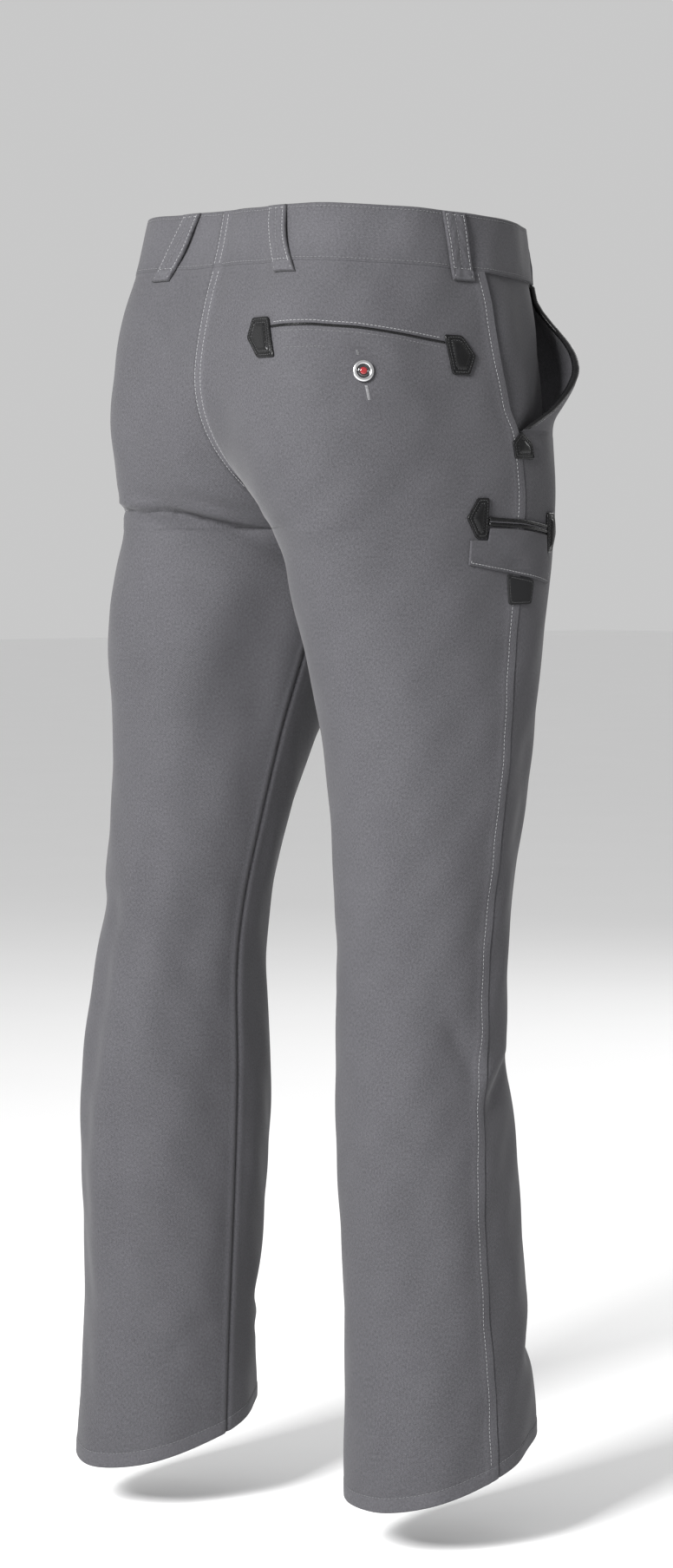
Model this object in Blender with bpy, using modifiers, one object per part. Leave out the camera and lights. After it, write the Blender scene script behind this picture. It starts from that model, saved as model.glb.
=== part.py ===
"""Work trousers of heavy cotton with leather-edged pockets, as cut and sewn pieces of cloth.

Metres, +Z up, the front towards -Y and the wearer's right towards -X. The origin is the centre of
the waist opening, 10 mm below the top edge of the waistband. A place on the cloth is given as
(side, s, z): side -1 for the right half and +1 for the left, s the distance along the cloth from
the side seam (towards the back positive, towards the front negative), z the height before the
waist and the hem are tilted.
"""

import math
from collections import namedtuple

import bpy
import numpy as np
from mathutils import Vector

for existing in list(bpy.data.objects):
    bpy.data.objects.remove(existing, do_unlink=True)

# Sizes of the cut
WAIST_TOP_Z = 0.010
WAIST_SEAM_Z = -0.036
CROTCH_Z = -0.245
HEM_Z = -1.002
RISE_FRONT_Z = -0.150
RISE_BACK_Z = -0.115
FORK_Y = 0.005
SEAM_SINK_FRONT = 0.001
SEAM_SINK_BACK = 0.004
WAIST_PITCH = 0.05
HEM_PITCH = 0.33

# Thicknesses and clearances
CLOTH = 0.0015
BAND_IN = 0.0022
BAND_OUT = 0.0008
HEM_TURN = 0.014
GAP = 0.0003
LIFT = 0.0007

# Columns across a panel, samples along one half outline, and steps round a button
COLUMNS = 13
SAMPLES = 73
TURN_STEPS = 20

# Half outlines, one row per height. Columns: height, distance of the side seam, of the inner edge
# and of the fullest part from the centre plane, y of the front, of the back and of the side seam.
Section = namedtuple("Section", "z out inn mid front back side")
HIP = (
    Section(0.024, 0.158, 0.000, 0.078, -0.112, 0.116, -0.003),
    Section(-0.022, 0.163, 0.000, 0.081, -0.116, 0.126, -0.005),
    Section(-0.070, 0.172, 0.000, 0.086, -0.120, 0.141, -0.012),
    Section(-0.115, 0.178, 0.000, 0.090, -0.122, 0.150, -0.019),
    Section(-0.160, 0.181, 0.000, 0.093, -0.124, 0.151, -0.028),
    Section(-0.205, 0.182, 0.000, 0.095, -0.124, 0.142, -0.036),
)
RIGHT_LEG = (
    Section(-0.245, 0.182, 0.000, 0.096, -0.122, 0.127, -0.036),
    Section(-0.310, 0.180, 0.004, 0.098, -0.116, 0.104, -0.032),
    Section(-0.420, 0.176, 0.018, 0.099, -0.099, 0.077, -0.026),
    Section(-0.590, 0.176, 0.042, 0.110, -0.064, 0.079, -0.006),
    Section(-0.760, 0.185, 0.046, 0.117, -0.073, 0.080, 0.009),
    Section(-0.950, 0.196, 0.052, 0.123, -0.087, 0.079, 0.006),
    Section(-1.002, 0.197, 0.053, 0.124, -0.088, 0.080, 0.004),
)
LEFT_LEG = (
    Section(-0.245, 0.184, 0.000, 0.097, -0.122, 0.133, -0.030),
    Section(-0.310, 0.190, 0.004, 0.100, -0.106, 0.145, -0.010),
    Section(-0.420, 0.192, 0.029, 0.109, -0.047, 0.131, 0.018),
    Section(-0.590, 0.198, 0.060, 0.130, -0.010, 0.136, 0.044),
    Section(-0.700, 0.206, 0.060, 0.136, -0.020, 0.148, 0.048),
    Section(-0.950, 0.214, 0.068, 0.143, -0.007, 0.144, 0.052),
    Section(-1.002, 0.216, 0.069, 0.144, -0.009, 0.148, 0.052),
)
LEG_LEVELS = (-0.253, -0.268, -0.288, -0.312, -0.345, -0.385, -0.430, -0.480, -0.530, -0.580,
              -0.630, -0.685, -0.745, -0.805, -0.860, -0.905, -0.945, HEM_Z + HEM_TURN + 0.001,
              HEM_Z + HEM_TURN, HEM_Z)

# Soft folds: a line from (v0, z0) to (v1, z1), where v is the part of the half outline from the side
# seam (back positive, front negative); depth outward, half width in metres.
Fold = namedtuple("Fold", "side v0 z0 v1 z1 depth width")
FOLDS = (
    Fold(1, 0.50, -0.236, 0.72, -0.234, -0.004, 0.018),
    Fold(1, 0.72, -0.234, 0.90, -0.262, -0.006, 0.018),
    Fold(1, 0.45, -0.268, 0.85, -0.285, 0.003, 0.022),
    Fold(-1, 0.55, -0.262, 0.88, -0.275, -0.003, 0.020),
    Fold(1, 0.70, -0.340, 0.66, -0.780, 0.002, 0.024),
    Fold(-1, -0.27, -0.675, -0.05, -0.712, -0.003, 0.020),
    Fold(1, 0.25, -0.560, 0.80, -0.585, -0.003, 0.022),
    Fold(-1, 0.30, -0.600, 0.80, -0.575, -0.002, 0.022),
    Fold(1, -0.20, -0.300, -0.80, -0.272, -0.004, 0.020),
    Fold(-1, -0.35, -0.298, -0.85, -0.270, -0.004, 0.020),
    Fold(1, -0.30, -0.905, -0.75, -0.890, -0.005, 0.018),
    Fold(-1, -0.30, -0.915, -0.80, -0.895, -0.005, 0.018),
)

# The mouth of the front pockets: distance in front of the side seam at each height.
Mouth = namedtuple("Mouth", "z reach")
MOUTH = (Mouth(-0.036, 0.102), Mouth(-0.080, 0.087), Mouth(-0.120, 0.064), Mouth(-0.150, 0.036),
         Mouth(-0.166, 0.012))
MOUTH_END_Z = -0.1665
MOUTH_OPEN = 0.027
MOUTH_FADE = 0.050
FACING_UNDER = 0.036

# Belt loops: distance s from the side seam at the waist. A loop's profile has one row per height:
# how far its inner face stands off the cloth.
Loop = namedtuple("Loop", "name side s")
LOOPS = (
    Loop("belt_loop_back_right", -1, 0.172),
    Loop("belt_loop_side_right", -1, 0.020),
    Loop("belt_loop_front_right", -1, -0.131),
    Loop("belt_loop_back_left", 1, 0.200),
    Loop("belt_loop_side_left", 1, 0.020),
    Loop("belt_loop_front_left", 1, -0.131),
)
LOOP_WIDTH = 0.021
LOOP_CLOTH = 0.0020
LoopRow = namedtuple("LoopRow", "z off")
LOOP_ROWS = (LoopRow(0.0095, 0.0013), LoopRow(0.004, 0.0022), LoopRow(-0.006, 0.0034),
             LoopRow(-0.018, 0.0038), LoopRow(-0.030, 0.0028), LoopRow(-0.037, 0.0017),
             LoopRow(-0.0455, 0.0011))

# Leather patches: a five-cornered outline, its point turned to the back (1), the front (-1) or up (0).
Patch = namedtuple("Patch", "name side s z point width height")
PATCHES = (
    Patch("back_pocket_patch_inner", -1, 0.2120, -0.0965, 1, 0.030, 0.032),
    Patch("back_pocket_patch_outer", -1, 0.0390, -0.1070, -1, 0.026, 0.032),
    Patch("ruler_pocket_patch_back", -1, 0.0450, -0.2370, 1, 0.021, 0.032),
    Patch("ruler_pocket_patch_front", -1, -0.0475, -0.2480, -1, 0.021, 0.032),
    Patch("front_pocket_patch_right", -1, -0.0070, -0.1785, 0, 0.025, 0.022),
    Patch("front_pocket_patch_left", 1, -0.0070, -0.1785, 0, 0.025, 0.022),
)
PATCH_THICK = 0.0016
PATCH_CROWN = 0.0014

# Trim that runs along a line of (s, z) on the right half.
Spot = namedtuple("Spot", "s z")
BACK_MOUTH = (Spot(0.1962, -0.0885), Spot(0.159, -0.0868), Spot(0.125, -0.0885), Spot(0.092, -0.0925),
              Spot(0.0528, -0.0972))
BACK_MOUTH_WIDTH = 0.0032
RULER_PIPE = (Spot(0.0336, -0.2395), Spot(0.000, -0.2410), Spot(-0.0362, -0.2450))
RULER_PIPE_WIDTH = 0.0070
StripRow = namedtuple("StripRow", "s top bottom")
RULER_STRIP = (StripRow(0.0510, -0.2545, -0.2740), StripRow(0.0338, -0.2545, -0.2765),
               StripRow(0.0325, -0.2447, -0.2770), StripRow(0.0110, -0.2452, -0.2800),
               StripRow(-0.0150, -0.2472, -0.2842), StripRow(-0.0350, -0.2494, -0.2875),
               StripRow(-0.0368, -0.2658, -0.2878), StripRow(-0.0450, -0.2665, -0.2890))
LABEL = (Spot(0.0110, -0.2812), Spot(-0.0180, -0.2858), Spot(-0.0170, -0.3050), Spot(0.0070, -0.3055))

BUTTON_S, BUTTON_Z = 0.129, -0.123
BUTTON_R = 0.0086
WAIST_BUTTON_X = -0.014
TAB_REACH = 0.030
TAB_LIFT = 0.0036
FLY_Z = (-0.0368, -0.172)
FLY_WIDTH = 0.036
FLY_OVER = 0.006

CLOTH_GREY = (0.150, 0.152, 0.158, 1.0)
FACING_GREY = (0.135, 0.137, 0.142, 1.0)
LEATHER_BLACK = (0.012, 0.012, 0.013, 1.0)
METAL = (0.62, 0.62, 0.63, 1.0)
BUTTON_DARK = (0.02, 0.02, 0.022, 1.0)
LABEL_BLACK = (0.02, 0.02, 0.02, 1.0)

collection = bpy.data.collections.new("work_trousers")
bpy.context.scene.collection.children.link(collection)


def blend(t):
    """Smooth step from 0 to 1."""
    t = np.clip(t, 0.0, 1.0)
    return t * t * (3.0 - 2.0 * t)


def spline(rows, z):
    """Columns of a table of sections at the heights z, by cubic interpolation."""
    heights = np.array([row.z for row in rows])[::-1]
    columns = np.array([row[1:] for row in rows], float)[::-1]
    slopes = np.gradient(columns, heights, axis=0)
    i = np.clip(np.searchsorted(heights, z) - 1, 0, len(heights) - 2)
    h = (heights[i + 1] - heights[i])[:, None]
    t = (z[:, None] - heights[i][:, None]) / h
    return ((2 * t**3 - 3 * t**2 + 1) * columns[i] + (t**3 - 2 * t**2 + t) * h * slopes[i]
            + (3 * t**2 - 2 * t**3) * columns[i + 1] + (t**3 - t**2) * h * slopes[i + 1])


def outline(side, face, z):
    """Half outlines from the side seam to the inner edge: x, y and the length along each."""
    shared = spline(HIP + RIGHT_LEG, z).T[:, :, None]
    out, inn, mid, front, back, seam_y = spline(HIP + (RIGHT_LEG if side < 0 else LEFT_LEG),
                                                z).T[:, :, None]
    z = z[:, None]
    if face < 0:
        far, start, edge = front, RISE_FRONT_Z, shared[3] + SEAM_SINK_FRONT
    else:
        far, start, edge = back, RISE_BACK_Z, shared[4] - SEAM_SINK_BACK
    bend = 1.0 - np.sqrt(1.0 - np.clip((start - z) / (start - CROTCH_Z), 0.0, 1.0)**2)
    below = np.clip((CROTCH_Z - z) / 0.25, 0.0, 1.0)
    fork = np.where(z >= CROTCH_Z, FORK_Y, (front + back) / 2 + 0.0025 - 0.0105 * below)
    edge = edge * (1.0 - bend) + fork * bend
    inn = np.maximum(inn, GAP / 2)
    q = np.linspace(0.0, 2.0, SAMPLES)[None, :]
    a = np.clip(q, 0.0, 1.0) * math.pi / 2
    b = np.clip(q - 1.0, 0.0, 1.0) * math.pi / 2
    outer = q <= 1.0
    x = np.where(outer, mid + (out - mid) * np.cos(a), mid - (mid - inn) * np.sin(b))
    y = np.where(outer, seam_y + (far - seam_y) * np.sin(a),
                 far + (edge - far) * (1.0 - np.cos(b)**(2.0 - bend)))
    length = np.zeros(x.shape)
    length[:, 1:] = np.cumsum(np.hypot(np.diff(x, axis=1), np.diff(y, axis=1)), axis=1)
    return x, y, length


def base(side, face, u, z):
    """Points of the unfolded cloth at the part u of the half outline and the height z."""
    x, y, length = outline(side, face, z)
    want = np.clip(u, 0.0, 1.0) * length[:, -1]
    i = np.clip((length <= want[:, None]).sum(axis=1) - 1, 0, SAMPLES - 2)
    row = np.arange(len(z))
    t = (want - length[row, i]) / (length[row, i + 1] - length[row, i])
    px = x[row, i] * (1 - t) + x[row, i + 1] * t
    py = y[row, i] * (1 - t) + y[row, i + 1] * t
    pitch = WAIST_PITCH * (py - 0.12) * blend((z + 0.20) / 0.20)
    heel = 0.068 if side > 0 else 0.0
    hem = HEM_PITCH * (py - heel) * blend((-0.87 - z) / 0.13)
    return np.stack([side * px, py, z + pitch - hem], axis=1)


def normal(side, face, u, z):
    """Outward directions of the unfolded cloth."""
    du, dz = 0.004, 0.001
    across = base(side, face, np.minimum(u + du, 1.0), z) - base(side, face, np.maximum(u - du, 0.0), z)
    low, here, high = span(side, face, z - dz), span(side, face, z), span(side, face, z + dz)
    s = np.minimum(u * here, np.minimum(low, high))
    along = base(side, face, s / high, z + dz) - base(side, face, s / low, z - dz)
    n = np.cross(across, along) * side * face
    return n / np.linalg.norm(n, axis=1)[:, None]


def span(side, face, z):
    """Lengths of the half outlines at the heights z."""
    return outline(side, face, z)[2][:, -1]


def folds(side, v, z):
    """Outward displacement of the soft folds."""
    total = np.zeros(len(z))
    for fold in FOLDS:
        if fold.side != side:
            continue
        px, pz = v * 0.24, z
        ax, az = fold.v0 * 0.24, fold.z0
        dx, dz = (fold.v1 - fold.v0) * 0.24, fold.z1 - fold.z0
        t = ((px - ax) * dx + (pz - az) * dz) / (dx * dx + dz * dz)
        away = np.hypot(px - ax - np.clip(t, 0, 1) * dx, pz - az - np.clip(t, 0, 1) * dz)
        total += fold.depth * np.exp(-(away / fold.width)**2)
    return total * blend((1.0 - np.abs(v)) / 0.10)


def mouth(z):
    """Distance of the front pocket's mouth from the side seam."""
    heights = [row.z for row in MOUTH][::-1]
    return np.interp(z, heights, [row.reach for row in MOUTH][::-1])


def gape(side, s, z):
    """How far the edge of the right front pocket stands open."""
    if side > 0:
        return np.zeros(len(z))
    t = np.clip((-0.048 - z) / (-0.048 - MOUTH_END_Z), 0.0, 1.0)**1.3
    away = np.maximum(np.abs(s) - mouth(z), 0.0)
    return MOUTH_OPEN * np.sin(math.pi * t)**1.2 * np.exp(-(away / MOUTH_FADE)**2)


def place(side, s, z, out=0.0, opened=False):
    """Points on the cloth at (side, s, z), moved outward. s may pass the centre line at the hips."""
    s, z, out = (np.ravel(a).astype(float) for a in np.broadcast_arrays(s, z, out))
    points = np.empty((len(s), 3))
    for half in (-1, 1):
        for face in (-1, 1):
            own = (s < 0) if face < 0 else (s >= 0)
            if not own.any():
                continue
            reach = np.zeros(len(s))
            reach[own] = span(side, face, z[own])
            over = np.abs(s) > reach
            pick = own & (over if half != side else ~over)
            if not pick.any():
                continue
            own_span = span(half, face, z[pick])
            t = np.abs(s[pick])
            t = t if half == side else own_span - (t - reach[pick])
            u = t / own_span
            rise = out[pick] + folds(half, face * u, z[pick])
            if opened and face < 0:
                rise = rise + gape(half, t, z[pick])
            points[pick] = (base(half, face, u, z[pick])
                            + normal(half, face, u, z[pick]) * rise[:, None])
    return points


def finish(name, colour, metallic, roughness):
    """The material of one piece."""
    material = bpy.data.materials.new(name)
    material.use_nodes = True
    shader = material.node_tree.nodes["Principled BSDF"]
    shader.inputs["Base Color"].default_value = colour
    shader.inputs["Roughness"].default_value = roughness
    shader.inputs["Metallic"].default_value = metallic
    return material


def solid(name, colour, points, faces, metallic=0.0, roughness=0.8):
    """A closed body with its own material, its faces turned outward."""
    points = np.asarray(points, float)
    volume = sum(np.dot(points[f[0]], np.cross(points[f[k]], points[f[k + 1]]))
                 for f in faces for k in range(1, len(f) - 1))
    if volume < 0:
        faces = [tuple(reversed(f)) for f in faces]
    mesh = bpy.data.meshes.new(name)
    mesh.from_pydata([tuple(p) for p in points], [], faces)
    mesh.update()
    mesh.shade_smooth()
    mesh.materials.append(finish(name, colour, metallic, roughness))
    made = bpy.data.objects.new(name, mesh)
    collection.objects.link(made)
    return made


def wall(name, colour, outer, inner, **look):
    """A sheet between two grids of points, closed round its border."""
    rows, columns = outer.shape[:2]
    count = rows * columns
    grid = np.arange(count).reshape(rows, columns)
    faces = []
    for i in range(rows - 1):
        for j in range(columns - 1):
            a, b, c, d = grid[i, j], grid[i, j + 1], grid[i + 1, j + 1], grid[i + 1, j]
            faces.append((a, b, c, d))
            faces.append((d + count, c + count, b + count, a + count))
    border = (list(grid[0, :]) + list(grid[1:, -1]) + list(grid[-1, -2::-1]) + list(grid[-2:0:-1, 0]))
    for a, b in zip(border, border[1:] + border[:1]):
        faces.append((b, a, a + count, b + count))
    points = np.concatenate([outer.reshape(-1, 3), inner.reshape(-1, 3)])
    return solid(name, colour, points, [tuple(int(k) for k in f) for f in faces], **look)


def sheet(name, colour, side, s, z, low, high, opened=False, **look):
    """A wall whose faces lie low and high above the cloth at the grid of (s, z)."""
    s, z, low, high = np.broadcast_arrays(s, z, low, high)
    outer = place(side, s, z, high, opened).reshape(s.shape + (3,))
    inner = place(side, s, z, low, opened).reshape(s.shape + (3,))
    return wall(name, colour, outer, inner, **look)


def soft_edge(rows, columns, thick, drop):
    """Heights of an outer face that is lower along its border."""
    high = np.full((rows, columns), thick)
    high[[0, -1], :] -= drop
    high[:, [0, -1]] = np.minimum(high[:, [0, -1]], thick - drop)
    return high


def levels(face):
    """Heights of a panel's rows, from the waistband seam to the hem."""
    start, count = (RISE_FRONT_Z, 7) if face < 0 else (RISE_BACK_Z, 4)
    hip = np.linspace(WAIST_SEAM_Z - GAP / 2, start, count)
    turn = np.linspace(0.0, math.pi / 2, 9)[1:]
    fork = start + (CROTCH_Z - start) * np.sin(turn)
    mouth_end = (-0.1662, -0.1705) if face < 0 else ()
    return np.array(sorted([*hip, *fork, *LEG_LEVELS, *mouth_end], reverse=True))


def panel(name, side, face):
    """One cut panel of the trousers, from the waistband seam to the hem."""
    z = levels(face)
    whole = span(side, face, z)
    start = np.full(len(z), GAP / 2)
    if face < 0:
        start = np.where(z > MOUTH_END_Z, mouth(z), start)
    q = np.linspace(0.0, 1.0, COLUMNS)[None, :]
    s = start[:, None] + (whole - GAP / 2 - start)[:, None] * q
    u, zz = (s / whole[:, None]).ravel(), np.broadcast_to(z[:, None], s.shape).ravel()
    point, out = base(side, face, u, zz), normal(side, face, u, zz)
    rise = folds(side, face * u, zz)
    if face < 0:
        rise = rise + gape(side, s.ravel(), zz)
    thick = np.where(zz > HEM_Z + HEM_TURN + 0.0005, CLOTH, 2 * CLOTH)
    outer = point + out * rise[:, None]
    inner = point + out * (rise - thick)[:, None]
    for points in (outer, inner):
        points[:, 0] = side * np.maximum(side * points[:, 0], GAP / 2)
        above = (zz >= CROTCH_Z) & (u > 0.85)
        points[above, 1] = face * np.maximum(face * (points[above, 1] - FORK_Y), GAP / 2) + FORK_Y
    shape = s.shape + (3,)
    return wall(name, CLOTH_GREY, outer.reshape(shape), inner.reshape(shape))


def waistband(name, side, tab):
    """Half of the waistband, from the centre back seam round to the centre front."""
    z = np.array([WAIST_SEAM_Z + GAP / 2, WAIST_SEAM_Z + 0.003, -0.013, WAIST_TOP_Z - 0.003, WAIST_TOP_Z])
    back, front = span(side, 1, z), span(side, -1, z)
    part = np.linspace(0.0, 1.0, 13)
    s = [back * (1 - t) for t in part] + [-front * t for t in part[1:]]
    lift = [0.0] * len(s)
    if tab:
        s[-1] = -(front - 0.026)
        lift[-1] = 0.0
        for beyond in (-0.010, 0.002, 0.010, 0.020, TAB_REACH):
            s.append(-(front + beyond))
            lift.append(TAB_LIFT)
    s = np.stack(s)
    lift = np.array(lift)[:, None]
    outer_edge = np.array([0.0004, 0.0, 0.0, 0.0, 0.0004])[None, :]
    zz = np.broadcast_to(z, s.shape)
    outer = place(side, s, zz, BAND_OUT + lift - outer_edge).reshape(s.shape + (3,))
    inner = place(side, s, zz, -BAND_IN + lift).reshape(s.shape + (3,))
    limit = len(s) - 5 if tab else len(s)
    for points in (outer, inner):
        points[:limit, :, 0] = side * np.maximum(side * points[:limit, :, 0], GAP / 2)
    return wall(name, CLOTH_GREY, outer, inner)


def facing(name, side):
    """The cloth behind a front pocket's mouth, sewn into the side seam and the waistband."""
    z = np.linspace(WAIST_SEAM_Z - GAP / 2, -0.178, 9)
    q = np.linspace(0.0, 1.0, 7)[None, :]
    start = 0.0006
    s = -(start + (mouth(z) + FACING_UNDER - start)[:, None] * q)
    high = -(CLOTH + 2 * GAP) - 0.0045 * blend((-s - mouth(z)[:, None] + 0.018) / 0.030)
    return sheet(name, FACING_GREY, side, s, z[:, None], high - 0.0011, high)


def binding(name, side):
    """The leather edge of a front pocket's mouth, lying on the front panel."""
    z = np.linspace(WAIST_SEAM_Z - 0.0008, -0.1650, 11)
    q = np.array([-0.0016, 0.0012, 0.0048, 0.0062])[None, :]
    s = -(mouth(z)[:, None] + q)
    low = LIFT + 0.0005
    high = low + soft_edge(len(z), 4, 0.0013, 0.0004)
    return sheet(name, LEATHER_BLACK, side, s, z[:, None], low, high, opened=True, roughness=0.4)


def belt_loop(loop):
    """A doubled strip over the waistband, its foot folded under below the seam."""
    z = np.array([row.z for row in LOOP_ROWS])
    off = np.array([row.off for row in LOOP_ROWS])[:, None]
    q = np.linspace(-0.5, 0.5, 5)[None, :]
    s = loop.s + LOOP_WIDTH * q + 0.0 * z[:, None]
    drop = np.array([0.0005, 0.0, 0.0, 0.0, 0.0005])[None, :]
    return sheet(loop.name, CLOTH_GREY, loop.side, s, z[:, None], off, off + LOOP_CLOTH - drop)


def corners(patch):
    """Outline of a five-cornered patch about its centre, as (ds, dz)."""
    w, h = patch.width / 2, patch.height / 2
    if patch.point == 0:
        return [(-w, -h), (w, -h), (w, h - 0.009), (0.0, h), (-w, h - 0.009)]
    k = patch.point
    return [(-k * w, -h), (-k * w, h), (k * (w - 0.010), h), (k * w, 0.0), (k * (w - 0.010), -h)]


def pad(name, colour, side, s0, z0, ring, thick, crown, **look):
    """A padded piece with the outline ring about (s0, z0), following the cloth."""
    ring = np.array(ring, float)
    dense = np.concatenate([np.linspace(a, b, 4)[:-1] for a, b in zip(ring, np.roll(ring, -1, axis=0))])
    count = len(dense)
    shells = [(0.45, 0.0), (0.985, 0.0), (1.0, thick * 0.25), (1.0, thick * 0.75), (0.94, thick),
              (0.70, thick + crown * 0.7), (0.35, thick + crown)]
    points = [place(side, s0, z0, LIFT)]
    for scale, rise in shells:
        points.append(place(side, s0 + dense[:, 0] * scale, z0 + dense[:, 1] * scale, LIFT + rise))
    points.append(place(side, s0, z0, LIFT + thick + crown))
    points = np.concatenate(points)
    faces = []
    for j in range(count):
        k = (j + 1) % count
        faces.append((0, 1 + k, 1 + j))
        for row in range(len(shells) - 1):
            a, b = 1 + row * count, 1 + (row + 1) * count
            faces.append((a + j, a + k, b + k, b + j))
        last = 1 + (len(shells) - 1) * count
        faces.append((last + j, last + k, len(points) - 1))
    return solid(name, colour, points, faces, **look)


def cord(name, line, width, crests, **look):
    """A raised trim along a line of spots, with one or two crests across it."""
    s = np.interp(np.linspace(0, 1, 13), np.linspace(0, 1, len(line)), [p.s for p in line])
    z = np.interp(s, [p.s for p in line][::-1], [p.z for p in line][::-1])
    profile = {1: (0.0003, 0.0012, 0.0014, 0.0012, 0.0003),
               2: (0.0003, 0.0017, 0.0018, 0.0007, 0.0018, 0.0017, 0.0003)}[crests]
    q = np.linspace(0.5, -0.5, len(profile))[None, :]
    zz = z[:, None] + width * q
    ss = s[:, None] + 0.0 * q
    high = LIFT + np.broadcast_to(np.array(profile), zz.shape)
    return sheet(name, LEATHER_BLACK, -1, ss, zz, LIFT - 0.0001, high, roughness=0.35, **look)


def ruler_strip():
    """The outer strip of the ruler pocket, below its leather edge."""
    s = np.concatenate([np.linspace(a.s, b.s, n)[:-1] for a, b, n in
                        zip(RULER_STRIP, RULER_STRIP[1:], (4, 2, 5, 5, 4, 2, 3))] + [[RULER_STRIP[-1].s]])
    known = [row.s for row in RULER_STRIP][::-1]
    top = np.interp(s, known, [row.top for row in RULER_STRIP][::-1])
    bottom = np.interp(s, known, [row.bottom for row in RULER_STRIP][::-1])
    q = np.array([0.0, 0.06, 0.5, 0.94, 1.0])[None, :]
    zz = top[:, None] + (bottom - top)[:, None] * q
    high = LIFT + soft_edge(len(s), 5, 0.0014, 0.0005)
    return sheet("ruler_pocket_strip", FACING_GREY, -1, s[:, None] + 0.0 * q, zz, LIFT, high)


def fly_flap():
    """The doubled edge of the left front that laps over the closure."""
    z = np.linspace(FLY_Z[0], FLY_Z[1], 14)
    t = np.clip((FLY_Z[0] - 0.085 - z) / (FLY_Z[0] - 0.085 - FLY_Z[1]), 0.0, 1.0)
    width = FLY_OVER + 0.004 + (FLY_WIDTH - 0.004) * np.sqrt(np.maximum(1.0 - t**2, 0.0))
    q = np.array([0.0, 0.05, 0.5, 0.95, 1.0])[None, :]
    whole = span(1, -1, z)[:, None]
    s = -(whole + FLY_OVER - width[:, None] * (1.0 - q))
    high = LIFT + soft_edge(len(z), 5, 0.0016, 0.0005)
    return sheet("fly_flap", CLOTH_GREY, 1, s, z[:, None] + 0.0 * q, LIFT, high)


def lathe(name, colour, centre, axis, profile, metallic=0.0, roughness=0.8):
    """A turned body on the axis: profile rows are (radius, height), from the crown down the outside."""
    mesh = bpy.data.meshes.new(name)
    mesh.from_pydata([(r, 0.0, h) for r, h in profile], [(k, k + 1) for k in range(len(profile) - 1)], [])
    made = bpy.data.objects.new(name, mesh)
    made.location = centre
    made.rotation_euler = Vector(axis).to_track_quat("Z", "Y").to_euler()
    screw = made.modifiers.new("turn", "SCREW")
    screw.axis = "Z"
    screw.steps = TURN_STEPS
    screw.render_steps = TURN_STEPS
    screw.use_merge_vertices = True
    screw.merge_threshold = 0.00005
    screw.use_smooth_shade = True
    made.data.materials.append(finish(name, colour, metallic, roughness))
    collection.objects.link(made)
    return made


def button_axis(side, s, z, off):
    """Foot and direction of a button on the cloth."""
    centre = place(side, s, z, off)[0]
    return centre, place(side, s, z, off + 0.01)[0] - centre


def pocket_button():
    """A pressed metal ring and the domed core set in it."""
    centre, axis = button_axis(-1, BUTTON_S, BUTTON_Z, LIFT)
    r = BUTTON_R
    lathe("back_pocket_button_ring", METAL, centre, axis,
          ((0.0, 0.0018), (r * 0.60, 0.0018), (r * 0.64, 0.0029), (r * 0.78, 0.0033),
           (r * 0.94, 0.0029), (r, 0.0019), (r * 0.97, 0.0010), (r * 0.72, 0.0), (0.0, 0.0)),
          metallic=1.0, roughness=0.25)
    lathe("back_pocket_button_core", BUTTON_DARK, centre, axis,
          ((0.0, 0.0037), (r * 0.28, 0.0036), (r * 0.50, 0.0031), (r * 0.57, 0.0024),
           (r * 0.52, 0.0021), (0.0, 0.0021)), roughness=0.2)


def waist_button():
    """The plain domed button of the waistband's tab."""
    front = float(span(1, -1, np.array([-0.013]))[0])
    centre, axis = button_axis(1, -(front - WAIST_BUTTON_X), -0.013, BAND_OUT + TAB_LIFT + GAP)
    r = BUTTON_R
    lathe("waist_button", METAL, centre, axis,
          ((0.0, 0.0037), (r * 0.50, 0.0036), (r * 0.90, 0.0030), (r, 0.0020), (r * 0.96, 0.0010),
           (r * 0.70, 0.0), (0.0, 0.0)), metallic=1.0, roughness=0.3)


panel("front_right", -1, -1)
panel("front_left", 1, -1)
panel("back_right", -1, 1)
panel("back_left", 1, 1)
waistband("waistband_right", -1, False)
waistband("waistband_left", 1, True)
for loop in LOOPS:
    belt_loop(loop)
facing("pocket_facing_right", -1)
facing("pocket_facing_left", 1)
binding("pocket_binding_right", -1)
binding("pocket_binding_left", 1)
for patch in PATCHES:
    pad(patch.name, LEATHER_BLACK, patch.side, patch.s, patch.z, corners(patch), PATCH_THICK,
        PATCH_CROWN, roughness=0.35)
cord("back_pocket_edge", BACK_MOUTH, BACK_MOUTH_WIDTH, 1)
cord("ruler_pocket_edge", RULER_PIPE, RULER_PIPE_WIDTH, 2)
ruler_strip()
label_s = sum(p.s for p in LABEL) / 4
label_z = sum(p.z for p in LABEL) / 4
pad("ruler_pocket_tab", LABEL_BLACK, -1, label_s, label_z,
    [(p.s - label_s, p.z - label_z) for p in LABEL], 0.0013, 0.0004, roughness=0.6)
fly_flap()
pocket_button()
waist_button()
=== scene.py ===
"""Looks of a pair of heavy cotton work trousers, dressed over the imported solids.

Metres, +Z up, the front towards -Y and the wearer's right towards -X. A place on the cloth is
(half, s, z): half -1 is the right half and +1 the left, s is the distance along the cloth from the
side seam (backwards positive, forwards negative), and z is the height before the waist and the hems
are tilted.
"""

import logging
import math
from dataclasses import dataclass, field
from enum import Enum, IntEnum
from typing import NamedTuple, Optional, Sequence

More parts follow.
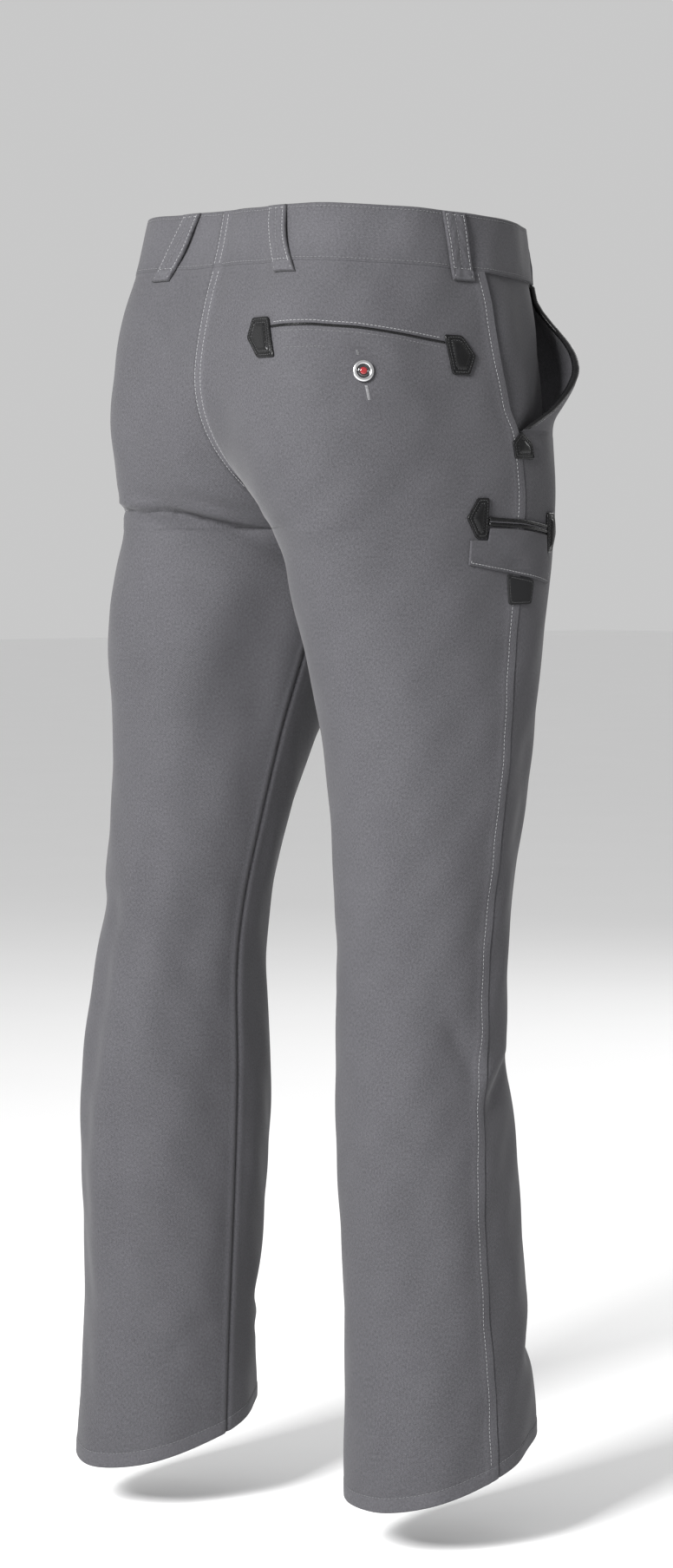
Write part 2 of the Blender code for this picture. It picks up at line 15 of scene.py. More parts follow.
import bpy
import numpy as np
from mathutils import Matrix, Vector


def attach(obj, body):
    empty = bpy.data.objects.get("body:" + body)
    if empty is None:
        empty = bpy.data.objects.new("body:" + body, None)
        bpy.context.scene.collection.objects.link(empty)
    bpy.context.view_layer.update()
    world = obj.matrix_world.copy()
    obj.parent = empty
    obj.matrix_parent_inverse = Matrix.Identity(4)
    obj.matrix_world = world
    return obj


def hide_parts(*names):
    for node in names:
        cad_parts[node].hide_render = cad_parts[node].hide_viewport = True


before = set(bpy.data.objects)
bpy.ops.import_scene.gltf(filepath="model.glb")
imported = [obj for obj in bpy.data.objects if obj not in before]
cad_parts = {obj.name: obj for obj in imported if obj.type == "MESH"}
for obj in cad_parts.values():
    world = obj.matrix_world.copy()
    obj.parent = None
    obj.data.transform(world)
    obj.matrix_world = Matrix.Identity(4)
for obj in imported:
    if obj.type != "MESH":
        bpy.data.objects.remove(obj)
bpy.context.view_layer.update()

log = logging.getLogger("work_trousers")


class Half(IntEnum):
    """The wearer's right or left half."""

    RIGHT = -1
    LEFT = 1


class Face(IntEnum):
    """The front or the back of a leg."""

    FRONT = -1
    BACK = 1


class Tone(Enum):
    """Which thread a row is sewn with."""

    LIGHT = "light"
    CLOTH = "cloth"
    BLACK = "black"


class Section(NamedTuple):
    """Half outline at one height: side seam, inner edge, fullest part, front, back, y of the side."""

    z: float
    out: float
    inn: float
    mid: float
    front: float
    back: float
    side: float


class Fold(NamedTuple):
    """A broad soft fold from (v0, z0) to (v1, z1); v is the part of the half outline, back positive."""

    half: int
    v0: float
    z0: float
    v1: float
    z1: float
    depth: float
    width: float


class Crease(NamedTuple):
    """A narrower trough (depth below 0) or ridge, bowed, with a lip on its upper side."""

    half: int
    v0: float
    z0: float
    v1: float
    z1: float
    depth: float
    width: float
    bow: float
    lip: float


class Mouth(NamedTuple):
    """How far in front of the side seam a front pocket's mouth lies at a height."""

    z: float
    reach: float


class Spot(NamedTuple):
    """A place on the right half."""

    s: float
    z: float


def blend(t: np.ndarray) -> np.ndarray:
    """Smooth step from 0 to 1."""
    t = np.clip(t, 0.0, 1.0)
    return t * t * (3.0 - 2.0 * t)


def bell(d: np.ndarray, width: float) -> np.ndarray:
    """A bell curve of height 1 and the given half width."""
    return np.exp(-((d / width) ** 2))


def spread(length: float, count: int, edge: float) -> np.ndarray:
    """Positions from 0 to length, close together near both ends.

    Args:
        length: the whole distance.
        count: how many even steps lie between the two edges.
        edge: width of the zone with close positions at each end.

    Returns:
        The positions in rising order.
    """
    near = edge * np.array([0.0, 0.08, 0.25, 0.55, 1.0])
    inner = np.linspace(edge, length - edge, count + 1)
    return np.concatenate([near[:-1], inner, (length - near[::-1])[1:]])


def rounding(rows: np.ndarray, columns: np.ndarray, edge: float) -> np.ndarray:
    """Height from 0 to 1 of a soft-edged strip over positions that both start at 0."""
    near = [np.minimum(p, p[-1] - p) for p in (rows, columns)]
    d = np.minimum(near[0][:, None], near[1][None, :])
    return np.sqrt(1.0 - (1.0 - np.clip(d / edge, 0.0, 1.0)) ** 2)


@dataclass(frozen=True)
class WornForm:
    """The worn form of the cloth: where every place of it lies in space."""

    waist_top: float = 0.010
    waist_seam: float = -0.036
    crotch: float = -0.245
    hem: float = -1.002
    rise_front: float = -0.150
    rise_back: float = -0.115
    fork_y: float = 0.005
    sink_front: float = 0.001
    sink_back: float = 0.004
    waist_pitch: float = 0.05
    hem_pitch: float = 0.33
    heel: float = 0.068
    gap: float = 0.0003
    lift: float = 0.0007
    samples: int = 257
    metric: float = 0.24
    mouth_end: float = -0.1665
    mouth_open: float = 0.027
    mouth_fade: float = 0.050
    hip: tuple[Section, ...] = (
        Section(0.024, 0.158, 0.000, 0.078, -0.112, 0.116, -0.003),
        Section(-0.022, 0.163, 0.000, 0.081, -0.116, 0.126, -0.005),
        Section(-0.070, 0.172, 0.000, 0.086, -0.120, 0.141, -0.012),
        Section(-0.115, 0.178, 0.000, 0.090, -0.122, 0.150, -0.019),
        Section(-0.160, 0.181, 0.000, 0.093, -0.124, 0.151, -0.028),
        Section(-0.205, 0.182, 0.000, 0.095, -0.124, 0.142, -0.036),
    )
    right_leg: tuple[Section, ...] = (
        Section(-0.245, 0.182, 0.000, 0.096, -0.122, 0.127, -0.036),
        Section(-0.310, 0.180, 0.004, 0.098, -0.116, 0.104, -0.032),
        Section(-0.420, 0.176, 0.018, 0.099, -0.099, 0.077, -0.026),
        Section(-0.590, 0.176, 0.042, 0.110, -0.064, 0.079, -0.006),
        Section(-0.760, 0.185, 0.046, 0.117, -0.073, 0.080, 0.009),
        Section(-0.950, 0.196, 0.052, 0.123, -0.087, 0.079, 0.006),
        Section(-1.002, 0.197, 0.053, 0.124, -0.088, 0.080, 0.004),
    )
    left_leg: tuple[Section, ...] = (
        Section(-0.245, 0.184, 0.000, 0.097, -0.122, 0.133, -0.030),
        Section(-0.310, 0.190, 0.004, 0.100, -0.106, 0.145, -0.010),
        Section(-0.420, 0.192, 0.029, 0.109, -0.047, 0.131, 0.018),
        Section(-0.590, 0.198, 0.060, 0.130, -0.010, 0.136, 0.044),
        Section(-0.700, 0.206, 0.060, 0.136, -0.020, 0.148, 0.048),
        Section(-0.950, 0.214, 0.068, 0.143, -0.007, 0.144, 0.052),
        Section(-1.002, 0.216, 0.069, 0.144, -0.009, 0.148, 0.052),
    )
    broad: tuple[Fold, ...] = (
        Fold(1, 0.58, -0.236, 0.72, -0.236, -0.003, 0.015),
        Fold(1, 0.72, -0.234, 0.90, -0.262, -0.006, 0.018),
        Fold(1, 0.45, -0.268, 0.85, -0.285, 0.003, 0.022),
        Fold(-1, 0.55, -0.262, 0.88, -0.275, -0.003, 0.020),
        Fold(1, 0.70, -0.340, 0.66, -0.780, 0.002, 0.024),
        Fold(-1, -0.27, -0.675, -0.05, -0.712, -0.003, 0.020),
        Fold(1, 0.25, -0.560, 0.80, -0.585, -0.003, 0.022),
        Fold(-1, 0.30, -0.600, 0.80, -0.575, -0.002, 0.022),
        Fold(1, -0.20, -0.300, -0.80, -0.272, -0.004, 0.020),
        Fold(-1, -0.35, -0.298, -0.85, -0.270, -0.004, 0.020),
        Fold(1, -0.30, -0.905, -0.75, -0.890, -0.005, 0.018),
        Fold(-1, -0.30, -0.915, -0.80, -0.895, -0.005, 0.018),
    )
    creases: tuple[Crease, ...] = (
        # Under the seat, left
        Crease(1, 0.47, -0.2290, 0.84, -0.2440, -0.0048, 0.0040, 0.003, 0.55),
        Crease(1, 0.72, -0.2380, 0.96, -0.2720, -0.0040, 0.0046, 0.001, 0.50),
        Crease(1, 0.80, -0.2150, 0.95, -0.2330, -0.0014, 0.0060, -0.003, 0.40),
        Crease(1, 0.60, -0.2950, 0.93, -0.3120, -0.0012, 0.0120, 0.006, 0.30),
        Crease(1, 0.86, -0.2650, 0.90, -0.4400, -0.0046, 0.0200, 0.000, 0.10),
        # Under the seat, right
        Crease(-1, 0.78, -0.2560, 0.96, -0.2680, -0.0010, 0.0080, 0.002, 0.40),
        Crease(-1, 0.80, -0.2260, 0.94, -0.2320, -0.0008, 0.0080, -0.002, 0.35),
        Crease(-1, 0.70, -0.3000, 0.93, -0.3200, -0.0014, 0.0110, 0.005, 0.30),
        # Seat and hip, from the pocket button and over the side seam
        Crease(-1, 0.46, -0.1030, 0.34, -0.1190, -0.0019, 0.0060, 0.002, 0.40),
        Crease(-1, 0.43, -0.1440, 0.28, -0.1600, -0.0022, 0.0075, 0.002, 0.40),
        Crease(-1, 0.62, -0.1250, 0.80, -0.1430, -0.0008, 0.0110, -0.004, 0.30),
        Crease(-1, 0.12, -0.1900, 0.40, -0.2160, -0.0010, 0.0130, 0.004, 0.25),
        Crease(1, 0.30, -0.1100, 0.62, -0.1270, -0.0009, 0.0130, 0.004, 0.25),
        Crease(1, 0.10, -0.1750, 0.42, -0.1900, -0.0009, 0.0140, -0.003, 0.25),
        # Backs of the thighs and knees
        Crease(1, 0.82, -0.3300, 0.79, -0.5300, -0.0016, 0.0150, 0.006, 0.30),
        Crease(1, 0.62, -0.4300, 0.56, -0.7000, -0.0012, 0.0160, -0.005, 0.20),
        Crease(1, 0.60, -0.4700, 0.53, -0.9600, 0.0046, 0.0120, 0.003, 0.60),
        Crease(1, 0.30, -0.5520, 0.62, -0.5660, -0.0010, 0.0120, 0.004, 0.35),
        Crease(-1, 0.34, -0.5850, 0.66, -0.5700, -0.0009, 0.0130, 0.005, 0.35),
        Crease(-1, 0.80, -0.3500, 0.72, -0.5600, -0.0012, 0.0160, 0.006, 0.20),
        Crease(-1, 0.16, -0.6350, 0.02, -0.6880, -0.0030, 0.0095, 0.003, 0.45),
        Crease(-1, -0.24, -0.6700, -0.03, -0.7080, -0.0034, 0.0085, 0.003, 0.50),
        Crease(-1, -0.10, -0.3900, -0.20, -0.5600, -0.0014, 0.0150, 0.006, 0.25),
        Crease(1, -0.12, -0.4200, -0.22, -0.6000, -0.0013, 0.0150, -0.005, 0.25),
        # Calves down to the hems
        Crease(1, 0.42, -0.7800, 0.34, -0.9700, -0.0012, 0.0170, 0.006, 0.20),
        Crease(-1, 0.22, -0.7600, 0.28, -0.9500, -0.0010, 0.0180, -0.005, 0.20),
        Crease(1, 0.78, -0.9300, 0.93, -0.9050, -0.0014, 0.0110, 0.004, 0.40),
        Crease(-1, 0.80, -0.9420, 0.95, -0.9250, -0.0012, 0.0110, 0.003, 0.40),
        # Front: lap, knees and insteps
        Crease(1, -0.93, -0.2450, -0.55, -0.2080, -0.0022, 0.0080, -0.005, 0.45),
        Crease(1, -0.93, -0.2620, -0.40, -0.2560, -0.0024, 0.0085, -0.006, 0.45),
        Crease(1, -0.91, -0.2850, -0.52, -0.3120, -0.0017, 0.0100, 0.005, 0.40),
        Crease(-1, -0.93, -0.2400, -0.62, -0.2150, -0.0020, 0.0075, -0.004, 0.45),
        Crease(-1, -0.92, -0.2600, -0.45, -0.2490, -0.0026, 0.0090, -0.005, 0.45),
        Crease(-1, -0.90, -0.2900, -0.58, -0.3200, -0.0015, 0.0100, 0.005, 0.40),
        Crease(1, -0.30, -0.5700, -0.66, -0.5500, -0.0013, 0.0120, 0.006, 0.35),
        Crease(1, -0.26, -0.6220, -0.58, -0.6400, -0.0011, 0.0120, -0.004, 0.35),
        Crease(-1, -0.36, -0.5600, -0.72, -0.5750, -0.0013, 0.0120, -0.005, 0.35),
        Crease(-1, -0.45, -0.6300, -0.78, -0.6120, -0.0011, 0.0120, 0.004, 0.35),
        Crease(1, -0.24, -0.8920, -0.62, -0.8720, -0.0022, 0.0090, 0.006, 0.45),
        Crease(1, -0.40, -0.9260, -0.82, -0.9200, -0.0020, 0.0090, -0.005, 0.45),
        Crease(-1, -0.26, -0.8960, -0.66, -0.8760, -0.0021, 0.0090, 0.006, 0.45),
        Crease(-1, -0.42, -0.9340, -0.84, -0.9220, -0.0019, 0.0090, -0.005, 0.45),
    )
    mouths: tuple[Mouth, ...] = (
        Mouth(-0.036, 0.102), Mouth(-0.080, 0.087), Mouth(-0.120, 0.064),
        Mouth(-0.150, 0.036), Mouth(-0.166, 0.012),
    )

    def spline(self, rows: Sequence[Section], z: np.ndarray) -> np.ndarray:
        """Columns of a table of sections at the heights z, by cubic interpolation.

        Args:
            rows: the sections, from the highest down.
            z: the heights wanted.

        Returns:
            One row of six values for each height.
        """
        heights = np.array([row.z for row in rows])[::-1]
        columns = np.array([row[1:] for row in rows], float)[::-1]
        slopes = np.gradient(columns, heights, axis=0)
        i = np.clip(np.searchsorted(heights, z) - 1, 0, len(heights) - 2)
        h = (heights[i + 1] - heights[i])[:, None]
        t = (z[:, None] - heights[i][:, None]) / h
        return ((2 * t**3 - 3 * t**2 + 1) * columns[i] + (t**3 - 2 * t**2 + t) * h * slopes[i]
                + (3 * t**2 - 2 * t**3) * columns[i + 1] + (t**3 - t**2) * h * slopes[i + 1])

    def outline(self, half: int, face: int, z: np.ndarray) -> tuple[np.ndarray, np.ndarray, np.ndarray]:
        """Half outlines from the side seam to the inner edge.

        Args:
            half: right or left.
            face: front or back.
            z: heights, one outline for each.

        Returns:
            x, y and the length along each outline.
        """
        shared = self.spline(self.hip + self.right_leg, z).T[:, :, None]
        leg = self.right_leg if half < 0 else self.left_leg
        out, inn, mid, front, back, seam_y = self.spline(self.hip + leg, z).T[:, :, None]
        z = z[:, None]
        if face < 0:
            far, start, edge = front, self.rise_front, shared[3] + self.sink_front
        else:
            far, start, edge = back, self.rise_back, shared[4] - self.sink_back
        bend = 1.0 - np.sqrt(1.0 - np.clip((start - z) / (start - self.crotch), 0.0, 1.0) ** 2)
        below = np.clip((self.crotch - z) / 0.25, 0.0, 1.0)
        fork = np.where(z >= self.crotch, self.fork_y, (front + back) / 2 + 0.0025 - 0.0105 * below)
        edge = edge * (1.0 - bend) + fork * bend
        inn = np.maximum(inn, self.gap / 2)
        q = np.linspace(0.0, 2.0, self.samples)[None, :]
        a = np.clip(q, 0.0, 1.0) * math.pi / 2
        b = np.clip(q - 1.0, 0.0, 1.0) * math.pi / 2
        outer = q <= 1.0
        x = np.where(outer, mid + (out - mid) * np.cos(a), mid - (mid - inn) * np.sin(b))
        y = np.where(outer, seam_y + (far - seam_y) * np.sin(a),
                     far + (edge - far) * (1.0 - np.cos(b) ** (2.0 - bend)))
        length = np.zeros(x.shape)
        length[:, 1:] = np.cumsum(np.hypot(np.diff(x, axis=1), np.diff(y, axis=1)), axis=1)
        return x, y, length

    def span(self, half: int, face: int, z: np.ndarray) -> np.ndarray:
        """Lengths of the half outlines at the heights z."""
        levels, row = np.unique(np.asarray(z, float), return_inverse=True)
        return self.outline(half, face, levels)[2][:, -1][row.ravel()].reshape(np.shape(z))

    def base(self, half: int, face: int, u: np.ndarray, z: np.ndarray) -> np.ndarray:
        """Points of the unfolded cloth at the part u of the half outline and the height z."""
        levels, row = np.unique(z, return_inverse=True)
        row = row.ravel()
        x, y, length = self.outline(half, face, levels)
        share = (length / length[:, -1:] + 2.0 * np.arange(len(levels))[:, None]).ravel()
        want = np.clip(u, 0.0, 1.0) + 2.0 * row
        first = row * self.samples
        k = np.clip(np.searchsorted(share, want, side="right") - 1, first, first + self.samples - 2)
        t = (want - share[k]) / (share[k + 1] - share[k])
        px = x.ravel()[k] * (1 - t) + x.ravel()[k + 1] * t
        py = y.ravel()[k] * (1 - t) + y.ravel()[k + 1] * t
        pitch = self.waist_pitch * (py - 0.12) * blend((z + 0.20) / 0.20)
        heel = self.heel if half > 0 else 0.0
        drop = self.hem_pitch * (py - heel) * blend((-0.87 - z) / 0.13)
        return np.stack([half * px, py, z + pitch - drop], axis=1)

    def normal(self, half: int, face: int, u: np.ndarray, z: np.ndarray) -> np.ndarray:
        """Outward directions of the unfolded cloth."""
        du, dz = 0.004, 0.001
        across = (self.base(half, face, np.minimum(u + du, 1.0), z)
                  - self.base(half, face, np.maximum(u - du, 0.0), z))
        low, here, high = (self.span(half, face, z + step) for step in (-dz, 0.0, dz))
        s = np.minimum(u * here, np.minimum(low, high))
        along = self.base(half, face, s / high, z + dz) - self.base(half, face, s / low, z - dz)
        n = np.cross(across, along) * half * face
        return n / np.linalg.norm(n, axis=1)[:, None]

    def relief(self, half: int, v: np.ndarray, z: np.ndarray) -> np.ndarray:
        """How far the folds, creases and the slight unevenness lift the cloth.

        Args:
            half: right or left.
            v: part of the half outline, back positive, front negative.
            z: heights.

        Returns:
            The outward displacement in metres.
        """
        total = np.zeros(len(z))
        x = v * self.metric
        for fold in (f for f in self.broad if f.half == half):
            ax, dx, dz = fold.v0 * self.metric, (fold.v1 - fold.v0) * self.metric, fold.z1 - fold.z0
            t = np.clip(((x - ax) * dx + (z - fold.z0) * dz) / (dx * dx + dz * dz), 0.0, 1.0)
            total += fold.depth * bell(np.hypot(x - ax - t * dx, z - fold.z0 - t * dz), fold.width)
        for c in (c for c in self.creases if c.half == half):
            ax, dx, dz = c.v0 * self.metric, (c.v1 - c.v0) * self.metric, c.z1 - c.z0
            long = math.hypot(dx, dz)
            t = ((x - ax) * dx + (z - c.z0) * dz) / (long * long)
            side = ((z - c.z0) * dx - (x - ax) * dz) / long * (1.0 if dx >= 0 else -1.0)
            side = side - c.bow * (1.0 - (2.0 * np.clip(t, 0.0, 1.0) - 1.0) ** 2)
            fade = blend(np.minimum(t + 0.12, 1.12 - t) / 0.42)
            wide = c.width * (0.8 + 0.4 * np.clip(t, 0.0, 1.0))
            total += c.depth * fade * (bell(side, wide) - c.lip * bell(side - 2.0 * wide, 1.3 * wide))
        shift = 0.37 * half
        total += 0.0007 * np.sin(2 * math.pi * (x / 0.083 + z / 0.31 + shift))
        total += 0.0005 * np.sin(2 * math.pi * (x / 0.057 - z / 0.23 + 2 * shift))
        total += 0.0003 * np.sin(2 * math.pi * (x / 0.041 + z / 0.067 + 3 * shift))
        return total * blend((1.0 - np.abs(v)) / 0.10)

    def mouth(self, z: np.ndarray) -> np.ndarray:
        """Distance of the front pocket's mouth from the side seam."""
        return np.interp(z, [m.z for m in self.mouths][::-1], [m.reach for m in self.mouths][::-1])

    def gape(self, half: int, s: np.ndarray, z: np.ndarray) -> np.ndarray:
        """How far the edge of the right front pocket stands open."""
        if half > 0:
            return np.zeros(len(z))
        t = np.clip((-0.048 - z) / (-0.048 - self.mouth_end), 0.0, 1.0) ** 1.3
        away = np.maximum(np.abs(s) - self.mouth(z), 0.0)
        return self.mouth_open * np.sin(math.pi * t) ** 1.2 * bell(away, self.mouth_fade)

    def place(self, half: int, s, z, out=0.0, opened: bool = False) -> np.ndarray:
        """Points on the cloth, moved outward.

        Args:
            half: the half that s is measured on.
            s: distances from the side seam; at the hips they may pass the centre line.
            z: heights.
            out: distance outward from the cloth's face.
            opened: whether the points follow the standing edge of the right front pocket.

        Returns:
            One point for each place, in rows of three.
        """
        s, z, out = (np.ravel(a).astype(float) for a in np.broadcast_arrays(s, z, out))
        points = np.empty((len(s), 3))
        for face in (-1, 1):
            own = (s < 0) if face < 0 else (s >= 0)
            if not own.any():
                continue
            reach = np.zeros(len(s))
            reach[own] = self.span(half, face, z[own])
            for on in (-1, 1):
                over = np.abs(s) > reach
                pick = own & (over if on != half else ~over)
                if not pick.any():
                    continue
                whole = self.span(on, face, z[pick])
                t = np.abs(s[pick])
                t = t if on == half else whole - (t - reach[pick])
                u = t / whole
                rise = out[pick] + self.relief(on, face * u, z[pick])
                if opened and face < 0:
                    rise = rise + self.gape(on, t, z[pick])
                points[pick] = (self.base(on, face, u, z[pick])
                                + self.normal(on, face, u, z[pick]) * rise[:, None])
        return points


FORM = WornForm()


class Bench:
    """Adds nodes to one material and joins them."""

    def __init__(self, name: str) -> None:
        """Start a material with a Principled shader."""
        self.material = bpy.data.materials.new(name)
        self.material.use_nodes = True
        self.tree = self.material.node_tree
        self.shader = self.tree.nodes["Principled BSDF"]

    def add(self, kind: str, settings: Optional[dict] = None, **inputs) -> bpy.types.Node:
        """Add a node.

        Args:
            kind: the node's type, without its ShaderNode prefix.
            settings: the node's own properties.
            **inputs: values or output sockets for its inputs, by name with _ for a space.

        Returns:
            The node.
        """
        node = self.tree.nodes.new("ShaderNode" + kind)
        for key, value in (settings or {}).items():
            setattr(node, key, value)
        for key, value in inputs.items():
            name = key.replace("_", " ")
            socket = node.inputs[int(key[1:])] if key[0] == "i" and key[1:].isdigit() else node.inputs[name]
            if isinstance(value, bpy.types.NodeSocket):
                self.tree.links.new(value, socket)
            else:
                socket.default_value = value
        return node

    def weave(self, scale: Sequence[float] = (1.0, 1.0, 1.0), turn: float = 0.0) -> bpy.types.NodeSocket:
        """The cloth's own coordinates in metres, scaled and turned about the face's normal."""
        own = self.add("Attribute", {"attribute_name": "weave"})
        return self.add("Mapping", None, Vector=own.outputs["Vector"], Scale=scale,
                        Rotation=(0.0, 0.0, turn)).outputs[0]

    def wear_and_relief_shade(self) -> bpy.types.NodeSocket:
        """How raised (above 0) or sunk (below 0) a place on a seam is; the finishes paint raised places paler,
        partly as rubbing and partly as painted highlight, and sunk places darker as painted shade.
        """
        return self.add("Attribute", {"attribute_name": "wear_and_relief_shade"}).outputs["Fac"]

    def noise(self, vector: bpy.types.NodeSocket, scale: float, detail: float = 2.0) -> bpy.types.NodeSocket:
        """Noise from 0 to 1."""
        return self.add("TexNoise", None, Vector=vector, Scale=scale, Detail=detail).outputs["Fac"]

    def bands(self, vector: bpy.types.NodeSocket, pitch: float, distortion: float = 0.0) -> bpy.types.NodeSocket:
        """Sine bands across x of the given pitch in metres."""
        return self.add("TexWave", {"bands_direction": "X"}, Vector=vector, Scale=math.pi / 10 / pitch,
                        Distortion=distortion).outputs["Fac"]

    def math(self, what: str, a, b=0.0, clamp: bool = False) -> bpy.types.NodeSocket:
        """One step of arithmetic."""
        return self.add("Math", {"operation": what, "use_clamp": clamp}, i0=a, i1=b).outputs[0]

    def weighted(self, *terms: tuple[bpy.types.NodeSocket, float], start: float = 0.0) -> bpy.types.NodeSocket:
        """The sum of sockets times weights, plus a start value."""
        total = None
        for socket, weight in terms:
            part = self.math("MULTIPLY", socket, weight)
            total = self.math("ADD", part, start if total is None else total)
        return total

    def colour(self, factor: bpy.types.NodeSocket, low: Sequence[float], high: Sequence[float]) -> None:
        """Blend the shader's colour between two linear colours."""
        ramp = self.add("ValToRGB", None, Fac=factor)
        ramp.color_ramp.elements[0].color = (*low, 1.0)
        ramp.color_ramp.elements[1].color = (*high, 1.0)
        self.tree.links.new(ramp.outputs["Color"], self.shader.inputs["Base Color"])

    def roughness(self, factor: bpy.types.NodeSocket) -> None:
        """Drive the shader's roughness."""
        self.tree.links.new(factor, self.shader.inputs["Roughness"])

    def bump(self, height: bpy.types.NodeSocket, distance: float, strength: float = 1.0) -> None:
        """Drive the shader's normal by a height from 0 to 1."""
        node = self.add("Bump", None, Height=height, Distance=distance, Strength=strength)
        self.tree.links.new(node.outputs["Normal"], self.shader.inputs["Normal"])

    def set(self, **values: float) -> None:
        """Set plain values on the shader's sockets, by name with _ for a space."""
        for key, value in values.items():
            self.shader.inputs[key.replace("_", " ")].default_value = value


@dataclass(frozen=True)
class CottonFinish:
    """Heavy cotton with a smooth napped face."""

    name: str = "moleskin_cotton"
    dark: tuple[float, float, float] = (0.0225, 0.0221, 0.0245)
    light: tuple[float, float, float] = (0.0880, 0.0865, 0.0950)
    twill: float = 0.0011
    speck: float = 780.0

    def make(self) -> bpy.types.Material:
        """Weave, nap, clouding and seams: ridges painted paler as rubbing, grooves painted darker as painted shade.
        """
        b = Bench(self.name)
        place = b.add("TexCoord").outputs["Object"]
        cloud = b.noise(place, 9.0, 4.0)
        blotch = b.noise(place, 46.0, 3.0)
        speck = b.noise(b.weave((1.0, 0.62, 1.0)), self.speck, 2.0)
        fibre = b.noise(b.weave((0.5, 1.9, 1.0), 1.05), self.speck * 1.4, 1.0)
        rib = b.bands(b.weave(turn=1.05), self.twill, 0.6)
        # The relief term paints sunk grooves, stitch rows and hem folds darker as painted shade, and raised ridges
        # paler as rubbing.
        tone = b.weighted((cloud, 0.20), (blotch, 0.14), (speck, 0.85), (fibre, 0.60), (rib, 0.12),
                          (b.wear_and_relief_shade(), 0.14), start=-0.48)
        b.colour(tone, self.dark, self.light)
        b.roughness(b.weighted((speck, 0.16), start=0.74))
        b.bump(b.weighted((speck, 0.5), (fibre, 0.3), (rib, 0.35)), 0.00022, 0.85)
        b.set(Specular_IOR_Level=0.22, Sheen_Weight=0.10, Sheen_Roughness=0.45)
        return b.material


@dataclass(frozen=True)
class LeatherFinish:
    """Glossy black leather with a fine grain and a paler cut edge."""

    name: str = "black_leather"
    grain: float = 0.0011

    def make(self) -> bpy.types.Material:
        """Pebbled grain, uneven gloss, a scuffed paler rim, and painted light: raised pads paler as painted
        highlight, stitch grooves darker as painted shade.
        """
        b = Bench(self.name)
        place = b.add("TexCoord").outputs["Object"]
        pebble = b.add("TexVoronoi", {"feature": "SMOOTH_F1"}, Vector=place, Scale=1.0 / self.grain,
                       Smoothness=0.6).outputs["Distance"]
        fine = b.noise(place, 2600.0, 2.0)
        scuff = b.noise(place, 210.0, 4.0)
        # The relief term paints the cut rim paler as scuffing, raised pads paler as painted highlight and stitch
        # grooves darker as painted shade.
        b.colour(b.weighted((scuff, 0.5), (fine, 0.2), (b.wear_and_relief_shade(), 0.35), start=-0.05),
                 (0.0018, 0.0018, 0.0020), (0.0090, 0.0090, 0.0095))
        b.roughness(b.weighted((scuff, 0.24), (pebble, 0.10), start=0.10))
        b.bump(b.weighted((pebble, 0.8), (fine, 0.25)), 0.00022, 0.6)
        b.set(Specular_IOR_Level=0.20)
        return b.material


@dataclass(frozen=True)
class ThreadFinish:
    """Sewing thread with a twist."""

    name: str
    dark: tuple[float, float, float]
    light: tuple[float, float, float]
    roughness: float = 0.6

    def make(self) -> bpy.types.Material:
        """Twisted plies along each stitch."""
        b = Bench(self.name)
        ply = b.bands(b.weave(turn=0.8), 0.0006)
        lint = b.noise(b.add("TexCoord").outputs["Object"], 900.0, 2.0)
        b.colour(b.weighted((ply, 0.45), (lint, 0.6)), self.dark, self.light)
        b.roughness(b.weighted((lint, 0.2), start=self.roughness - 0.1))
        b.bump(ply, 0.00008, 0.7)
        b.set(Specular_IOR_Level=0.3, Sheen_Weight=0.15)
        return b.material


@dataclass(frozen=True)
class MetalFinish:
    """Pressed metal, polished and slightly scratched."""

    name: str = "bright_nickel"
    tint: tuple[float, float, float] = (0.66, 0.66, 0.67)

    def make(self) -> bpy.types.Material:
        """Fine scratches and handling marks."""
        b = Bench(self.name)
        place = b.add("TexCoord").outputs["Object"]
        smear = b.noise(place, 260.0, 4.0)
        scratch = b.noise(b.add("Mapping", None, Vector=place, Scale=(1.0, 1.0, 9.0)).outputs[0], 900.0, 2.0)
        low = tuple(0.72 * c for c in self.tint)
        b.colour(b.weighted((smear, 0.9), (scratch, 0.3)), low, self.tint)
        b.roughness(b.weighted((smear, 0.2), (scratch, 0.08), start=0.10))
        b.bump(scratch, 0.00002, 0.5)
        b.set(Metallic=1.0)
        return b.material


@dataclass(frozen=True)
class EnamelFinish:
    """Glossy moulded filling of the button."""

    name: str
    low: tuple[float, float, float]
    high: tuple[float, float, float]

    def make(self) -> bpy.types.Material:
        """Deep colour under a clear coat."""
        b = Bench(self.name)
        place = b.add("TexCoord").outputs["Object"]
        swirl = b.noise(place, 420.0, 3.0)
        b.colour(swirl, self.low, self.high)
        b.roughness(b.weighted((b.noise(place, 1500.0), 0.10), start=0.12))
        b.set(Coat_Weight=0.8, Coat_Roughness=0.05)
        return b.material


@dataclass(frozen=True)
class TapeFinish:
    """Black woven tape."""

    name: str = "black_tape"
    pitch: float = 0.0009

    def make(self) -> bpy.types.Material:
        """Crossed ribs of warp and weft."""
        b = Bench(self.name)
        warp = b.bands(b.weave(), self.pitch, 0.4)
        weft = b.bands(b.weave(turn=math.pi / 2), self.pitch * 0.7, 0.4)
        lint = b.noise(b.weave(), 1100.0, 2.0)
        weave = b.weighted((warp, 0.5), (weft, 0.5))
        b.colour(b.weighted((weave, 0.5), (lint, 0.5)), (0.003, 0.003, 0.0035), (0.014, 0.014, 0.015))
        b.roughness(b.weighted((lint, 0.25), start=0.55))
        b.bump(weave, 0.00018, 0.8)
        b.set(Specular_IOR_Level=0.2)
        return b.material


@dataclass(frozen=True)
class StageFinish:
    """Pale matt floor."""

    name: str = "pale_floor"

    def make(self) -> bpy.types.Material:
        """Barely uneven white."""
        b = Bench(self.name)
        cloud = b.noise(b.add("TexCoord").outputs["Object"], 3.0, 2.0)
        b.colour(cloud, (0.93, 0.93, 0.93), (0.95, 0.95, 0.95))
        b.set(Roughness=0.9, Specular_IOR_Level=0.1)
        return b.material


